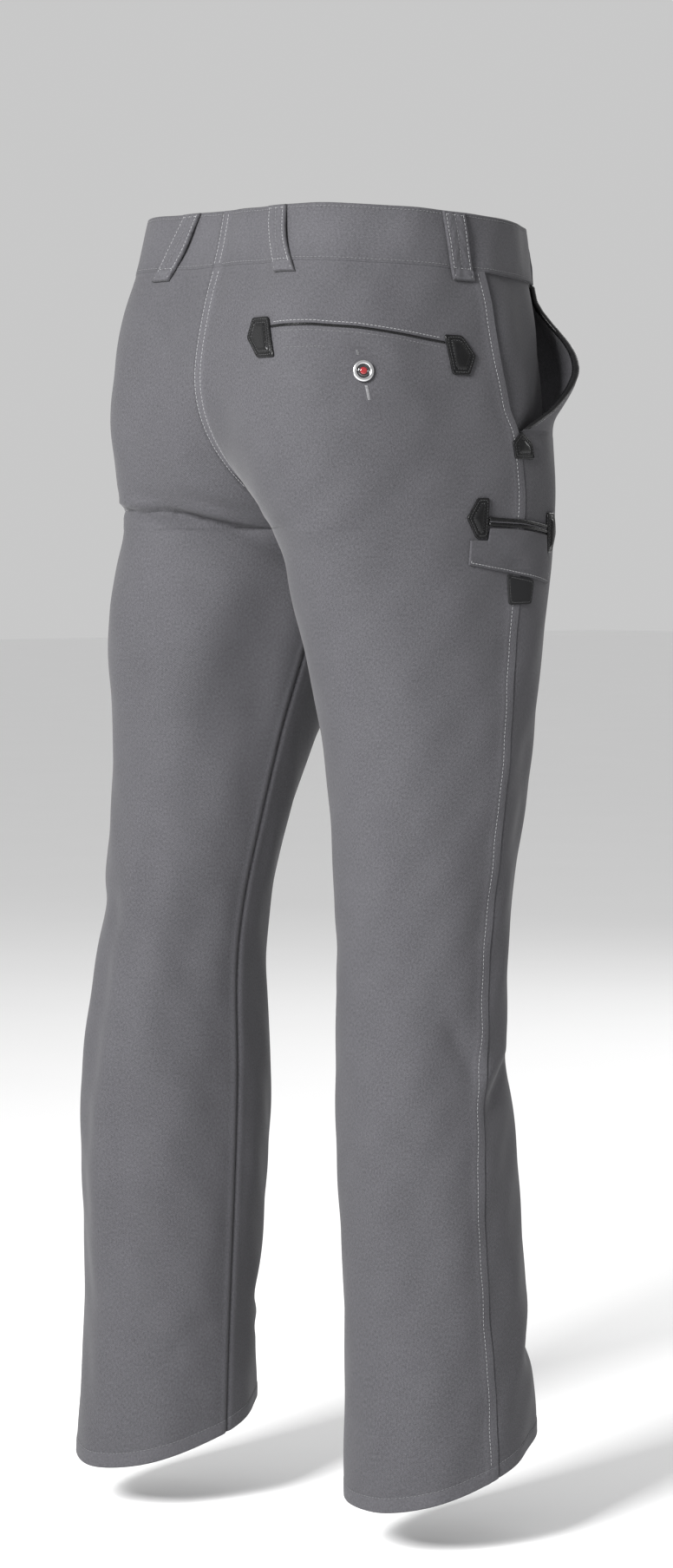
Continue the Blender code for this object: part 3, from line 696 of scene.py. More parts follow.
@dataclass
class Wardrobe:
    """All finishes of the trousers, made once."""

    cotton: bpy.types.Material = field(default_factory=lambda: CottonFinish().make())
    facing: bpy.types.Material = field(default_factory=lambda: CottonFinish(
        "facing_cotton", (0.021, 0.0206, 0.0229), (0.080, 0.0788, 0.0865)).make())
    leather: bpy.types.Material = field(default_factory=lambda: LeatherFinish().make())
    tape: bpy.types.Material = field(default_factory=lambda: TapeFinish().make())
    nickel: bpy.types.Material = field(default_factory=lambda: MetalFinish().make())
    enamel: bpy.types.Material = field(default_factory=lambda: EnamelFinish(
        "black_enamel", (0.004, 0.004, 0.005), (0.014, 0.013, 0.014)).make())
    garnet: bpy.types.Material = field(default_factory=lambda: EnamelFinish(
        "dark_red_glass", (0.070, 0.003, 0.004), (0.300, 0.012, 0.016)).make())
    light: bpy.types.Material = field(default_factory=lambda: ThreadFinish(
        "light_thread", (0.12, 0.12, 0.124), (0.30, 0.30, 0.31)).make())
    toned: bpy.types.Material = field(default_factory=lambda: ThreadFinish(
        "grey_thread", (0.060, 0.060, 0.064), (0.130, 0.130, 0.136)).make())
    black: bpy.types.Material = field(default_factory=lambda: ThreadFinish(
        "black_thread", (0.008, 0.008, 0.009), (0.04, 0.04, 0.042), 0.4).make())

    def thread(self, tone: Tone) -> bpy.types.Material:
        """The material of a thread."""
        return {Tone.LIGHT: self.light, Tone.CLOTH: self.toned, Tone.BLACK: self.black}[tone]


class Tailor:
    """Makes meshes from grids of points and enters them as pieces of the part."""

    @staticmethod
    def piece(name: str, points: np.ndarray, faces: list, finish: bpy.types.Material, slot: str,
              nodes: Sequence[str] = (), weave: Optional[np.ndarray] = None,
              wear_and_relief_shade: Optional[np.ndarray] = None, crisp: float = 55.0) -> bpy.types.Object:
        """Make one closed mesh that rides on the garment.

        Args:
            name: the piece's name.
            points: its points.
            faces: its faces, any winding that is the same all over.
            finish: its material.
            slot: the record's material slot; not used.
            nodes: the CAD nodes that it stands for.
            weave: cloth coordinates for each point.
            wear_and_relief_shade: how raised each point is on a seam.
            crisp: edges sharper than this angle in degrees aren't smoothed over.

        Returns:
            The object.
        """
        points = np.asarray(points, float)
        first = np.array([f[:3] for f in faces])
        centre = points.mean(axis=0)
        a, b, c = (points[first[:, k]] - centre for k in range(3))
        if np.einsum("ij,ij->", a, np.cross(b, c)) < 0:
            faces = [tuple(reversed(f)) for f in faces]
        mesh = bpy.data.meshes.new(name)
        mesh.from_pydata(points.tolist(), [], faces)
        mesh.update()
        mesh.shade_smooth()
        mesh.set_sharp_from_angle(angle=math.radians(crisp))
        coords = mesh.attributes.new("weave", "FLOAT_VECTOR", "POINT")
        flat = points if weave is None else np.asarray(weave, float)
        coords.data.foreach_set("vector", np.ascontiguousarray(flat, dtype=np.float32).ravel())
        # Seam relief per point, which the finishes paint as rubbed paleness on ridges and painted shade in grooves.
        raised = mesh.attributes.new("wear_and_relief_shade", "FLOAT", "POINT")
        amount = np.zeros(len(points)) if wear_and_relief_shade is None else np.asarray(wear_and_relief_shade, float)
        raised.data.foreach_set("value", np.ascontiguousarray(amount, dtype=np.float32).ravel())
        mesh.materials.append(finish)
        made = bpy.data.objects.new(name, mesh)
        bpy.context.scene.collection.objects.link(made)
        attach(made, "root")
        if nodes:
            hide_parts(*nodes)
        return made

    @staticmethod
    def wall(name: str, outer: np.ndarray, inner: np.ndarray, finish: bpy.types.Material, slot: str,
             nodes: Sequence[str] = (), weave: Optional[np.ndarray] = None,
             wear_and_relief_shade: Optional[np.ndarray] = None, crisp: float = 55.0) -> bpy.types.Object:
        """Make a sheet between two grids of points, closed round its border.

        Args:
            name: the piece's name.
            outer: grid of points of the outer face, rows by columns by three.
            inner: grid of points of the inner face.
            finish: its material.
            slot: the record's material slot.
            nodes: the CAD nodes that it stands for.
            weave: cloth coordinates for each grid point.
            wear_and_relief_shade: seam relief for each grid point.
            crisp: the angle above which an edge stays sharp.

        Returns:
            The object.
        """
        rows, columns = outer.shape[:2]
        count = rows * columns
        grid = np.arange(count).reshape(rows, columns)
        quads = np.stack([grid[:-1, :-1], grid[:-1, 1:], grid[1:, 1:], grid[1:, :-1]], -1).reshape(-1, 4)
        border = np.concatenate([grid[0, :], grid[1:, -1], grid[-1, -2::-1], grid[-2:0:-1, 0]])
        ahead = np.roll(border, -1)
        rim = np.stack([ahead, border, border + count, ahead + count], -1)
        faces = np.concatenate([quads, quads[:, ::-1] + count, rim]).tolist()
        points = np.concatenate([outer.reshape(-1, 3), inner.reshape(-1, 3)])
        both = None if weave is None else np.concatenate([weave.reshape(-1, 3)] * 2)
        if both is not None:
            both[count:, 2] = 0.01
        # Relief tone on the outer face only: paler ridges as rubbing, darker grooves as painted shade.
        rub_and_shade = None if wear_and_relief_shade is None else np.concatenate([wear_and_relief_shade.ravel(), np.zeros(count)])
        return Tailor.piece(name, points, faces, finish, slot, nodes, both, rub_and_shade, crisp)

    @staticmethod
    def area(grid: np.ndarray) -> float:
        """Area of a grid of points, in square metres."""
        a, b = grid[1:, 1:] - grid[:-1, :-1], grid[1:, :-1] - grid[:-1, 1:]
        return float(np.linalg.norm(np.cross(a, b), axis=2).sum() / 2)

    @staticmethod
    def cut(made: bpy.types.Object, grid: np.ndarray, held: str = "hung") -> None:
        """Log a piece's flat size, measured along the cloth.

        Args:
            made: the piece.
            grid: points over its face, rows by columns by three.
            held: how the cloth is held; not used.
        """
        wide = np.linalg.norm(np.diff(grid, axis=1), axis=2).sum(axis=1).max()
        long = np.linalg.norm(np.diff(grid, axis=0), axis=2).sum(axis=0).max()
        area = min(max(Tailor.area(grid), 0.31 * wide * long), wide * long)
        log.info("%s: cut %.3f by %.3f m, %.4f square metres", made.name, wide, long, area)

    @staticmethod
    def slab(name: str, half: int, s: np.ndarray, z: np.ndarray, low, high, finish: bpy.types.Material,
             slot: str, nodes: Sequence[str] = (), opened: bool = False,
             wear_and_relief_shade: Optional[np.ndarray] = None, sheet: bool = False) -> bpy.types.Object:
        """Make a strip whose faces lie low and high above the cloth.

        Args:
            name: the piece's name.
            half: right or left.
            s: grid of distances from the side seam.
            z: grid of heights.
            low: height of the under face above the cloth.
            high: height of the outer face above the cloth.
            finish: its material.
            slot: the record's material slot.
            nodes: the CAD nodes that it stands for.
            opened: whether it follows the standing pocket edge.
            wear_and_relief_shade: seam relief for each grid point.
            sheet: whether its flat size is logged as cloth.

        Returns:
            The object.
        """
        s, z, low, high = np.broadcast_arrays(s, z, low, high)
        shape = s.shape + (3,)
        outer = FORM.place(half, s, z, high, opened).reshape(shape)
        inner = FORM.place(half, s, z, low, opened).reshape(shape)
        weave = np.stack([s, z, np.zeros(s.shape)], -1)
        made = Tailor.wall(name, outer, inner, finish, slot, nodes, weave, wear_and_relief_shade)
        if sheet:
            Tailor.cut(made, outer)
        return made


@dataclass
class LegPanels:
    """The four cut panels, each from the waistband seam to the hem."""

    columns: int = 74
    cloth: float = 0.0012
    lap: float = 0.004
    ridge: float = 0.0005
    row: float = 0.003
    turn: float = 0.0128
    hem_row: float = 0.0115

    def levels(self, face: int) -> np.ndarray:
        """Heights of a panel's rows, close together at the fork and the hem."""
        start = FORM.rise_front if face < 0 else FORM.rise_back
        hip = np.arange(FORM.waist_seam - FORM.gap / 2, start, -0.003)
        top = FORM.waist_seam - FORM.gap / 2 - np.array([0.0006, 0.0014])
        fork = start + (FORM.crotch - start) * np.sin(np.linspace(0.0, math.pi / 2, 30)[1:])
        leg = np.arange(FORM.crotch - 0.003, FORM.hem + 0.0165, -0.0042)
        hem = FORM.hem + np.array([0.0, 0.0003, 0.0008, 0.0016, 0.0035, 0.006, 0.0085, 0.0102, 0.0110,
                                   0.0115, 0.0120, 0.0128, 0.0138, 0.0148])
        z = np.concatenate([hip, top, fork, leg, hem])
        if face < 0:
            z = z[(z > -0.1660) | (z < -0.1707)]
            z = np.concatenate([z, [-0.1662, -0.1705]])
        return np.unique(np.round(z, 6))[::-1]

    def shift(self, half: int, z: np.ndarray) -> np.ndarray:
        """How far the side seam wanders from its line, backward positive."""
        wander = 0.0004 * np.sin(z * 61.0 + half) + 0.0003 * np.sin(z * 149.0)
        pulled = blend((z + 0.167) / 0.022) * blend((-0.060 - z) / 0.045)
        return wander + (0.0044 * pulled - 0.0012 * bell(z + 0.172, 0.010) if half < 0 else 0.0)

    def height(self, half: int, face: int, t: np.ndarray, whole: np.ndarray, z: np.ndarray) -> np.ndarray:
        """Height of laps, seam ridges and the hem over the cloth.

        Args:
            half: right or left.
            face: front or back.
            t: distance from the side seam; below 0 or past whole it lies on the lap.
            whole: length of the half outline there.
            z: heights.

        Returns:
            The height in metres.
        """
        d = whole - t
        h = np.zeros(np.shape(t))
        pucker = 1.0 + 0.45 * np.sin(z * 410.0 + 1.3 * half) * np.sin(z * 97.0)
        centre = blend((z + 0.228) / 0.02)
        if face > 0:
            near = t - self.shift(half, z)
            h += self.ridge * blend((0.0090 - near) / 0.0028)
            h -= 0.00034 * pucker * bell(near - self.row, 0.0009)
            if half < 0:
                h += self.ridge * blend((0.0086 - d) / 0.0028) * centre
                h -= 0.00030 * pucker * bell(np.abs(d) - 0.0033, 0.0008) * centre
            else:
                h -= 0.0009 * blend((0.0060 - d) / 0.0014) * centre
        else:
            h -= 0.0009 * blend((0.0058 - t) / 0.0014) * (z < FORM.mouth_end)
            h -= 0.0004 * bell(d, 0.0012) * blend((z + 0.235) / 0.02)
        below = blend((FORM.crotch + 0.004 - z) / 0.02)
        h += below * (0.0005 * bell(d - 0.0048, 0.0026) * (1.0 if face > 0 else 0.6)
                      - 0.0012 * bell(d, 0.0015))
        up = z - FORM.hem
        rope = np.sin((t + 0.55 * up) * 2 * math.pi / 0.0105 + half) * (0.7 + 0.3 * np.sin(t * 61.0))
        h += 0.00040 * blend((self.turn - up) / 0.0018)
        h -= 0.00034 * bell(up - self.hem_row, 0.0008)
        h += 0.00013 * rope * blend((0.0120 - up) / 0.003) * blend(up / 0.002)
        h -= 0.0010 * (1.0 - np.sqrt(1.0 - (1.0 - np.clip(up / 0.0013, 0.0, 1.0)) ** 2))
        h += 0.0002 * bell(FORM.waist_seam - z, 0.0020)
        return h

    def build(self, name: str, half: int, face: int, wardrobe: Wardrobe) -> bpy.types.Object:
        """Build one panel as a thin shell with its laps and hem."""
        z = self.levels(face)
        whole = FORM.span(half, face, z)
        start = np.full(len(z), FORM.gap / 2)
        end = whole - FORM.gap / 2
        if face < 0:
            start = np.where(z > FORM.mouth_end, FORM.mouth(z), start)
        else:
            start = start - FORM.gap / 2 - self.lap + self.shift(half, z)
            if half < 0:
                end = end + (self.lap + FORM.gap / 2) * blend((z + 0.215) / 0.03)
        close = np.array([0.0, 0.0005, 0.0012, 0.0022, 0.0034, 0.0048, 0.0062, 0.0076, 0.0092, 0.0110,
                          0.0135])
        q = np.linspace(0.0, 1.0, self.columns - 2 * len(close) + 2)[1:-1]
        s = np.concatenate([start[:, None] + close, (start + close[-1])[:, None]
                            + (end - start - 2 * close[-1])[:, None] * q,
                            end[:, None] - close[::-1]], axis=1)
        if face < 0:
            s = np.where(s < 0, 0, s)
        zz = np.broadcast_to(z[:, None], s.shape)
        height = self.height(half, face, s, whole[:, None], zz)
        thick = np.where(zz > FORM.hem + self.turn + 0.0012, self.cloth, 2 * self.cloth)
        thick = np.where(zz < FORM.hem + 0.0005, 1.2 * self.cloth, thick)
        if face > 0:
            thick = np.where(s < 0.0052, 0.0007, thick)
            if half < 0:
                thick = np.where((s > whole[:, None] - 0.0045) & (zz > -0.215), 0.0007, thick)
        shape = s.shape + (3,)
        grids = []
        for out in (height, height - thick):
            points = FORM.place(half, face * s, zz, out, opened=face < 0).reshape(shape)
            own = s <= whole[:, None]
            points[..., 0] = np.where(own, half * np.maximum(half * points[..., 0], FORM.gap / 2),
                                      points[..., 0])
            above = (zz >= FORM.crotch) & (s > 0.85 * whole[:, None]) & own
            y = face * np.maximum(face * (points[..., 1] - FORM.fork_y), FORM.gap / 2) + FORM.fork_y
            points[..., 1] = np.where(above, y, points[..., 1])
            grids.append(points)
        weave = np.stack([face * s, zz, np.zeros(s.shape)], -1)
        # Colour from the relief: raised seam ridges painted paler as rubbing, sunk stitch rows, hem folds and
        # grooves painted darker as painted shade.
        wear_and_relief_shade = np.clip(height / 0.0005, -1.2, 1.0)
        made = Tailor.wall(name + "_cloth", grids[0], grids[1], wardrobe.cotton, "cloth", [name], weave, wear_and_relief_shade)
        Tailor.cut(made, grids[0])
        return made

    def dress(self, wardrobe: Wardrobe) -> None:
        """Build all four panels."""
        for name, half, face in (("front_right", -1, -1), ("front_left", 1, -1),
                                 ("back_right", -1, 1), ("back_left", 1, 1)):
            self.build(name, half, face, wardrobe)

    def on(self, half: int, s: np.ndarray, z: np.ndarray) -> np.ndarray:
        """Height of the panels' outer face at places on the cloth."""
        s, z = np.broadcast_arrays(np.asarray(s, float), np.asarray(z, float))
        total = np.zeros(s.shape)
        for face in (-1, 1):
            pick = (s < 0) if face < 0 else (s >= 0)
            if pick.any():
                whole = FORM.span(half, face, z[pick])
                total[pick] = self.height(half, face, np.abs(s[pick]), whole, z[pick])
        return total


@dataclass
class Waistband:
    """The two halves of the waistband, joined at the centre back."""

    outer: float = 0.0008
    inner: float = 0.0022
    lap: float = 0.0036
    low_row: float = 0.0024
    top_row: float = 0.0028
    tab_reach: float = 0.030
    tab_lift: float = 0.0036

    def levels(self) -> np.ndarray:
        """Distances up the band from its lower edge."""
        tall = FORM.waist_top - FORM.waist_seam + 0.0004
        near = np.array([0.0, 0.0004, 0.001, 0.0017, 0.0024, 0.0031, 0.0045])
        return np.concatenate([near, np.linspace(0.0045, tall - 0.0045, 11)[1:-1], (tall - near)[::-1]])

    def build(self, half: int, wardrobe: Wardrobe) -> bpy.types.Object:
        """Build one half, the left one with its buttoned tab."""
        up = self.levels()
        tall = up[-1]
        z = FORM.waist_seam - 0.0004 + up
        back, front = FORM.span(half, 1, z), FORM.span(half, -1, z)
        part = np.linspace(0.0, 1.0, 76)[1:]
        first = np.array([self.lap, 0.0026, 0.0012, 0.0, -0.0012, -0.0024, -0.0034, -0.0045, -0.0058,
                          -0.0072]) if half < 0 else -np.array([FORM.gap / 2, 0.001, 0.003, 0.0045, 0.0058, 0.0072])
        rows = [back + d for d in first]
        rows += [(back - 0.0072) * (1 - t) for t in part] + [-(front - 0.03) * t for t in part]
        beyond = np.linspace(-0.027, -0.0004, 12) if half < 0 else np.concatenate(
            [np.linspace(-0.027, self.tab_reach - 0.003, 28),
             self.tab_reach - np.array([0.002, 0.001, 0.0004, 0.0])])
        rows += [-(front + d) for d in beyond]
        s = np.stack(rows)
        reach = np.abs(s) - front[None, :]
        lift = self.tab_lift * blend((reach + 0.026) / 0.016) * (s < 0) * (half > 0)
        zz = np.broadcast_to(z, s.shape)
        near = np.minimum(up, tall - up)[None, :]
        soft = 1.0 - np.sqrt(1.0 - (1.0 - np.clip(near / 0.0014, 0.0, 1.0)) ** 2)
        d = back[None, :] - s
        height = self.outer - 0.0007 * soft + 0.00025 * np.sin(math.pi * up / tall)[None, :]
        height = height - 0.00026 * (bell(up - self.low_row, 0.0007) + bell(tall - up - self.top_row, 0.0007))
        wave = np.sin(s * 2 * math.pi / 0.0125 + 40 * zz) * np.sin(s * 33.0)
        height = height + 0.00010 * wave * (bell(up - 0.006, 0.005) + bell(tall - up - 0.006, 0.005))
        if half < 0:
            height = height + 0.00045 * blend((0.0080 - d) / 0.0026) * (s > 0)
            height = height - 0.00028 * bell(np.abs(d) - 0.0031, 0.0007)
        else:
            height = height - 0.0009 * blend((0.0058 - d) / 0.0014) * (s > 0)
        under = -self.inner + 0.0009 * soft
        under = np.where((half < 0) & (d < 0.0042) & (s > 0), height - 0.0007, under)
        grids = []
        for out in (height + lift, np.broadcast_to(under + lift, s.shape)):
            points = FORM.place(half, s, zz, out).reshape(s.shape + (3,))
            own = (s <= back[None, :]) & (s >= -front[None, :])
            points[..., 0] = np.where(own, half * np.maximum(half * points[..., 0], FORM.gap / 2),
                                      points[..., 0])
            grids.append(points)
        name = "waistband_right" if half < 0 else "waistband_left"
        weave = np.stack([zz, s, np.zeros(s.shape)], -1)
        # Colour from the relief: raised ridges painted paler as rubbing, stitch grooves and rounded edges painted
        # darker as painted shade.
        wear_and_relief_shade = np.clip((height - self.outer) / 0.0005, -1.2, 1.0)
        made = Tailor.wall(name + "_cloth", grids[0], grids[1], wardrobe.cotton, "cloth", [name], weave, wear_and_relief_shade)
        Tailor.cut(made, grids[0])
        return made


class Loop(NamedTuple):
    """A belt loop and its distance from the side seam."""

    name: str
    half: int
    s: float


class LoopRow(NamedTuple):
    """How far a loop's under face stands off the cloth at a height."""

    z: float
    off: float


@dataclass
class BeltLoops:
    """Six doubled strips over the waistband, their feet folded under below the seam."""

    loops: tuple[Loop, ...] = (
        Loop("belt_loop_back_right", -1, 0.172), Loop("belt_loop_side_right", -1, 0.020),
        Loop("belt_loop_front_right", -1, -0.131), Loop("belt_loop_back_left", 1, 0.200),
        Loop("belt_loop_side_left", 1, 0.020), Loop("belt_loop_front_left", 1, -0.131),
    )
    profile: tuple[LoopRow, ...] = (
        LoopRow(0.0095, 0.0013), LoopRow(0.004, 0.0022), LoopRow(-0.006, 0.0034), LoopRow(-0.018, 0.0038),
        LoopRow(-0.030, 0.0028), LoopRow(-0.037, 0.0017), LoopRow(-0.0455, 0.0011),
    )
    width: float = 0.021
    cloth: float = 0.0020
    row: float = 0.0024
    cross: tuple[float, ...] = (0.0030, 0.0455, 0.0515)
    foot: float = 0.0085

    def off(self, z: np.ndarray) -> np.ndarray:
        """Height of the under face, smoothed between the profile's rows."""
        known = [r.z for r in self.profile][::-1]
        offs = [r.off for r in self.profile][::-1]
        steps = np.array([-0.0035, -0.0018, 0.0, 0.0018, 0.0035])
        return np.mean([np.interp(z + d, known, offs) for d in steps], axis=0)

    def height(self, across: np.ndarray, down: np.ndarray, tall: float) -> np.ndarray:
        """Height of the outer face over the under face.

        Args:
            across: distances across the loop from its edge.
            down: distances down from its top.
            tall: the loop's length.

        Returns:
            Grid of heights, rows down by columns across.
        """
        shape = rounding(down, across, 0.0010)
        near = np.minimum(across, self.width - across)[None, :]
        ways = down[:, None]
        dips = 0.00034 * bell(near - self.row, 0.0007)
        for at in self.cross:
            dips = dips + 0.00034 * bell(ways - at, 0.0007)
        dips = dips + 0.00022 * bell(near - self.width / 2, 0.0008) * (ways < 0.045)
        swell = 0.00050 * blend((ways - (tall - self.foot)) / 0.0012) * blend((tall - ways) / 0.0012)
        crown = 0.00030 * bell(near - 0.0062, 0.0028)
        twist = 0.00012 * np.sin(ways * 430.0 + near * 900.0)
        return self.cloth * shape - (dips - swell - crown - twist) * shape

    def build(self, loop: Loop, wardrobe: Wardrobe) -> bpy.types.Object:
        """Build one loop."""
        tall = self.profile[0].z - self.profile[-1].z
        across = spread(self.width, 18, 0.0012)
        down = spread(tall, 52, 0.0012)
        z = self.profile[0].z - down[:, None] + 0.0 * across[None, :]
        s = loop.s + across[None, :] - self.width / 2 + 0.0 * z
        low = self.off(z)
        rise = self.height(across, down, tall)
        # Colour from the relief: swells painted paler as rubbing, stitch dips and edges painted darker as painted
        # shade.
        wear_and_relief_shade = np.clip((rise - self.cloth) / 0.0006, -1.0, 0.8)
        return Tailor.slab(loop.name + "_cloth", loop.half, s, z, low, low + rise, wardrobe.cotton, "cloth",
                           [loop.name], wear_and_relief_shade=wear_and_relief_shade, sheet=True)

    def dress(self, wardrobe: Wardrobe, needle: "Needle") -> None:
        """Build all loops and sew them."""
        tall = self.profile[0].z - self.profile[-1].z
        top = self.profile[0].z
        for loop in self.loops:
            self.build(loop, wardrobe)
            for way in (-1, 0, 1):
                end = tall - 0.0012 if way else 0.0440
                down = np.linspace(0.0012, end, 30)
                s = np.full(30, loop.s + way * (self.width / 2 - self.row))
                z = top - down
                needle.row(Tone.LIGHT if way else Tone.CLOTH, loop.half, s, z,
                           self.off(z) + self.cloth - 0.00014, zone="loops")
            for at in self.cross:
                s = loop.s + np.linspace(-0.5, 0.5, 12) * (self.width - 0.0022)
                z = np.full(12, top - at)
                needle.row(Tone.LIGHT, loop.half, s, z, self.off(z) + self.cloth - 0.00014, zone="loops")


@dataclass
class Needle:
    """Sews rows of stitches, gathered into one mesh for each thread and zone."""

    pitch: float = 0.0032
    length: float = 0.0025
    radius: float = 0.00030
    rows: dict = field(default_factory=dict)

    def row(self, tone: Tone, half: int, s, z, out, opened: bool = False, zone: str = "seams",
            pitch: Optional[float] = None, thick: float = 1.0) -> None:
        """Lay one row along places on the cloth.

        Args:
            tone: the thread.
            half: right or left.
            s: distances from the side seam along the row.
            z: heights along the row.
            out: height of the thread's core above the cloth.
            opened: whether the row follows the standing pocket edge.
            zone: the group that the row is built with.
            pitch: distance from one stitch to the next.
            thick: thread thickness against the usual.
        """
        s, z, out = (np.atleast_1d(a).astype(float) for a in np.broadcast_arrays(s, z, out))
        line = FORM.place(half, s, z, out, opened)
        up = FORM.place(half, s, z, out + 0.001, opened) - line
        way = np.concatenate([[0.0], np.cumsum(np.linalg.norm(np.diff(line, axis=0), axis=1))])
        step = pitch or self.pitch
        count = int(way[-1] // step)
        if count < 1:
            return
        spare = way[-1] - count * step
        at = spare / 2 + step * np.arange(count) + (step - self.length * step / self.pitch) / 2
        ends = [at, at + self.length * step / self.pitch]
        a, b = (np.stack([np.interp(e, way, line[:, k]) for k in range(3)], -1) for e in ends)
        n = np.stack([np.interp((ends[0] + ends[1]) / 2, way, up[:, k]) for k in range(3)], -1)
        self.rows.setdefault((tone, zone), []).append((a, b, n / np.linalg.norm(n, axis=1)[:, None],
                                                       np.full(count, thick)))

    def build(self, wardrobe: Wardrobe) -> None:
        """Make the meshes of all rows."""
        for (tone, zone), rows in self.rows.items():
            a, b, up, thick = (np.concatenate([r[k] for r in rows]) for k in range(4))
            along = b - a
            long = np.linalg.norm(along, axis=1)[:, None]
            side = np.cross(along / long, up)
            side /= np.linalg.norm(side, axis=1)[:, None]
            rings, sides = (0.0, 0.16, 0.5, 0.84, 1.0), 6
            size, sink = (0.45, 0.92, 1.0, 0.92, 0.45), (-0.75, -0.1, 0.1, -0.1, -0.75)
            points, weave = [], []
            for t, r, d in zip(rings, size, sink):
                for k in range(sides):
                    turn = 2 * math.pi * k / sides
                    points.append(a + along * t + self.radius * thick[:, None] * (
                        side * (r * math.cos(turn)) + up * (r * 0.8 * math.sin(turn) + d)))
                    weave.append(np.concatenate([long * t, np.full_like(long, k * 0.0003),
                                                 np.zeros_like(long)], axis=1))
            points, weave = np.stack(points, 1), np.stack(weave, 1)
            own = len(rings) * sides
            faces = []
            for i in range(len(rings) - 1):
                for k in range(sides):
                    m = (k + 1) % sides
                    faces.append((i * sides + k, i * sides + m, (i + 1) * sides + m, (i + 1) * sides + k))
            caps = [tuple(range(sides))[::-1], tuple(range(own - sides, own))]
            offset = np.arange(len(a))[:, None, None] * own
            quads = (np.array(faces)[None] + offset).reshape(-1, 4).tolist()
            ends = (np.array(caps)[None] + offset).reshape(-1, sides).tolist()
            name = f"{tone.value}_stitches_{zone}"
            Tailor.piece(name, points.reshape(-1, 3), quads + ends, wardrobe.thread(tone), "cloth",
                         weave=weave.reshape(-1, 3), crisp=80.0)
            log.info("%s: %d stitches", name, len(a))


@dataclass
class SeamRows:
    """The long rows of topstitching on seams, waistband and hems."""

    panels: LegPanels
    band: Waistband

    def dress(self, needle: Needle) -> None:
        """Sew them all."""
        for half in (-1, 1):
            z = np.arange(FORM.waist_seam - 0.0016, FORM.hem + 0.0125, -0.003)
            s = self.panels.row + self.panels.shift(half, z)
            needle.row(Tone.LIGHT, half, s, z, self.panels.on(half, s, z) + 0.00018, zone="side_seams")
            low, top = FORM.waist_seam + self.band.low_row, FORM.waist_top - self.band.top_row
            for height, lift in ((low, 0.00074), (top, 0.00074)):
                at = np.array([height])
                back, front = FORM.span(half, 1, at)[0], FORM.span(half, -1, at)[0]
                s = np.linspace(back - 0.0045, -(front - 0.024), 260)
                needle.row(Tone.CLOTH, half, s, np.full(260, height), lift, zone="waistband")
            for face in (-1, 1):
                whole = FORM.span(half, face, np.array([FORM.hem + self.panels.hem_row]))[0]
                s = face * np.linspace(0.0015, whole - 0.0012, 160)
                z = np.full(160, FORM.hem + self.panels.hem_row)
                needle.row(Tone.CLOTH, half, s, z, self.panels.on(half, s, z) + 0.00014, zone="hems")
        for way in (-1, 1):
            z = np.arange(FORM.waist_seam - 0.0016, -0.214, -0.003)
            s = FORM.span(-1, 1, z) + way * 0.0033
            needle.row(Tone.LIGHT, -1, s, z, self.panels.ridge - 0.00016, zone="centre_back")
            z = np.linspace(FORM.waist_top - 0.001, FORM.waist_seam + 0.001, 20)
            s = FORM.span(-1, 1, z) + way * 0.0031
            needle.row(Tone.LIGHT, -1, s, z, self.band.outer + 0.00045 + 0.00012, zone="centre_back")


class Wrap(NamedTuple):
    """One line of the binding's section: its name, place across the edge, height, and paleness: the rim and nose
    rubbed paler, the groove left darker as painted shade.
    """

    part: str
    across: float
    out: float
    wear_and_relief_shade: float


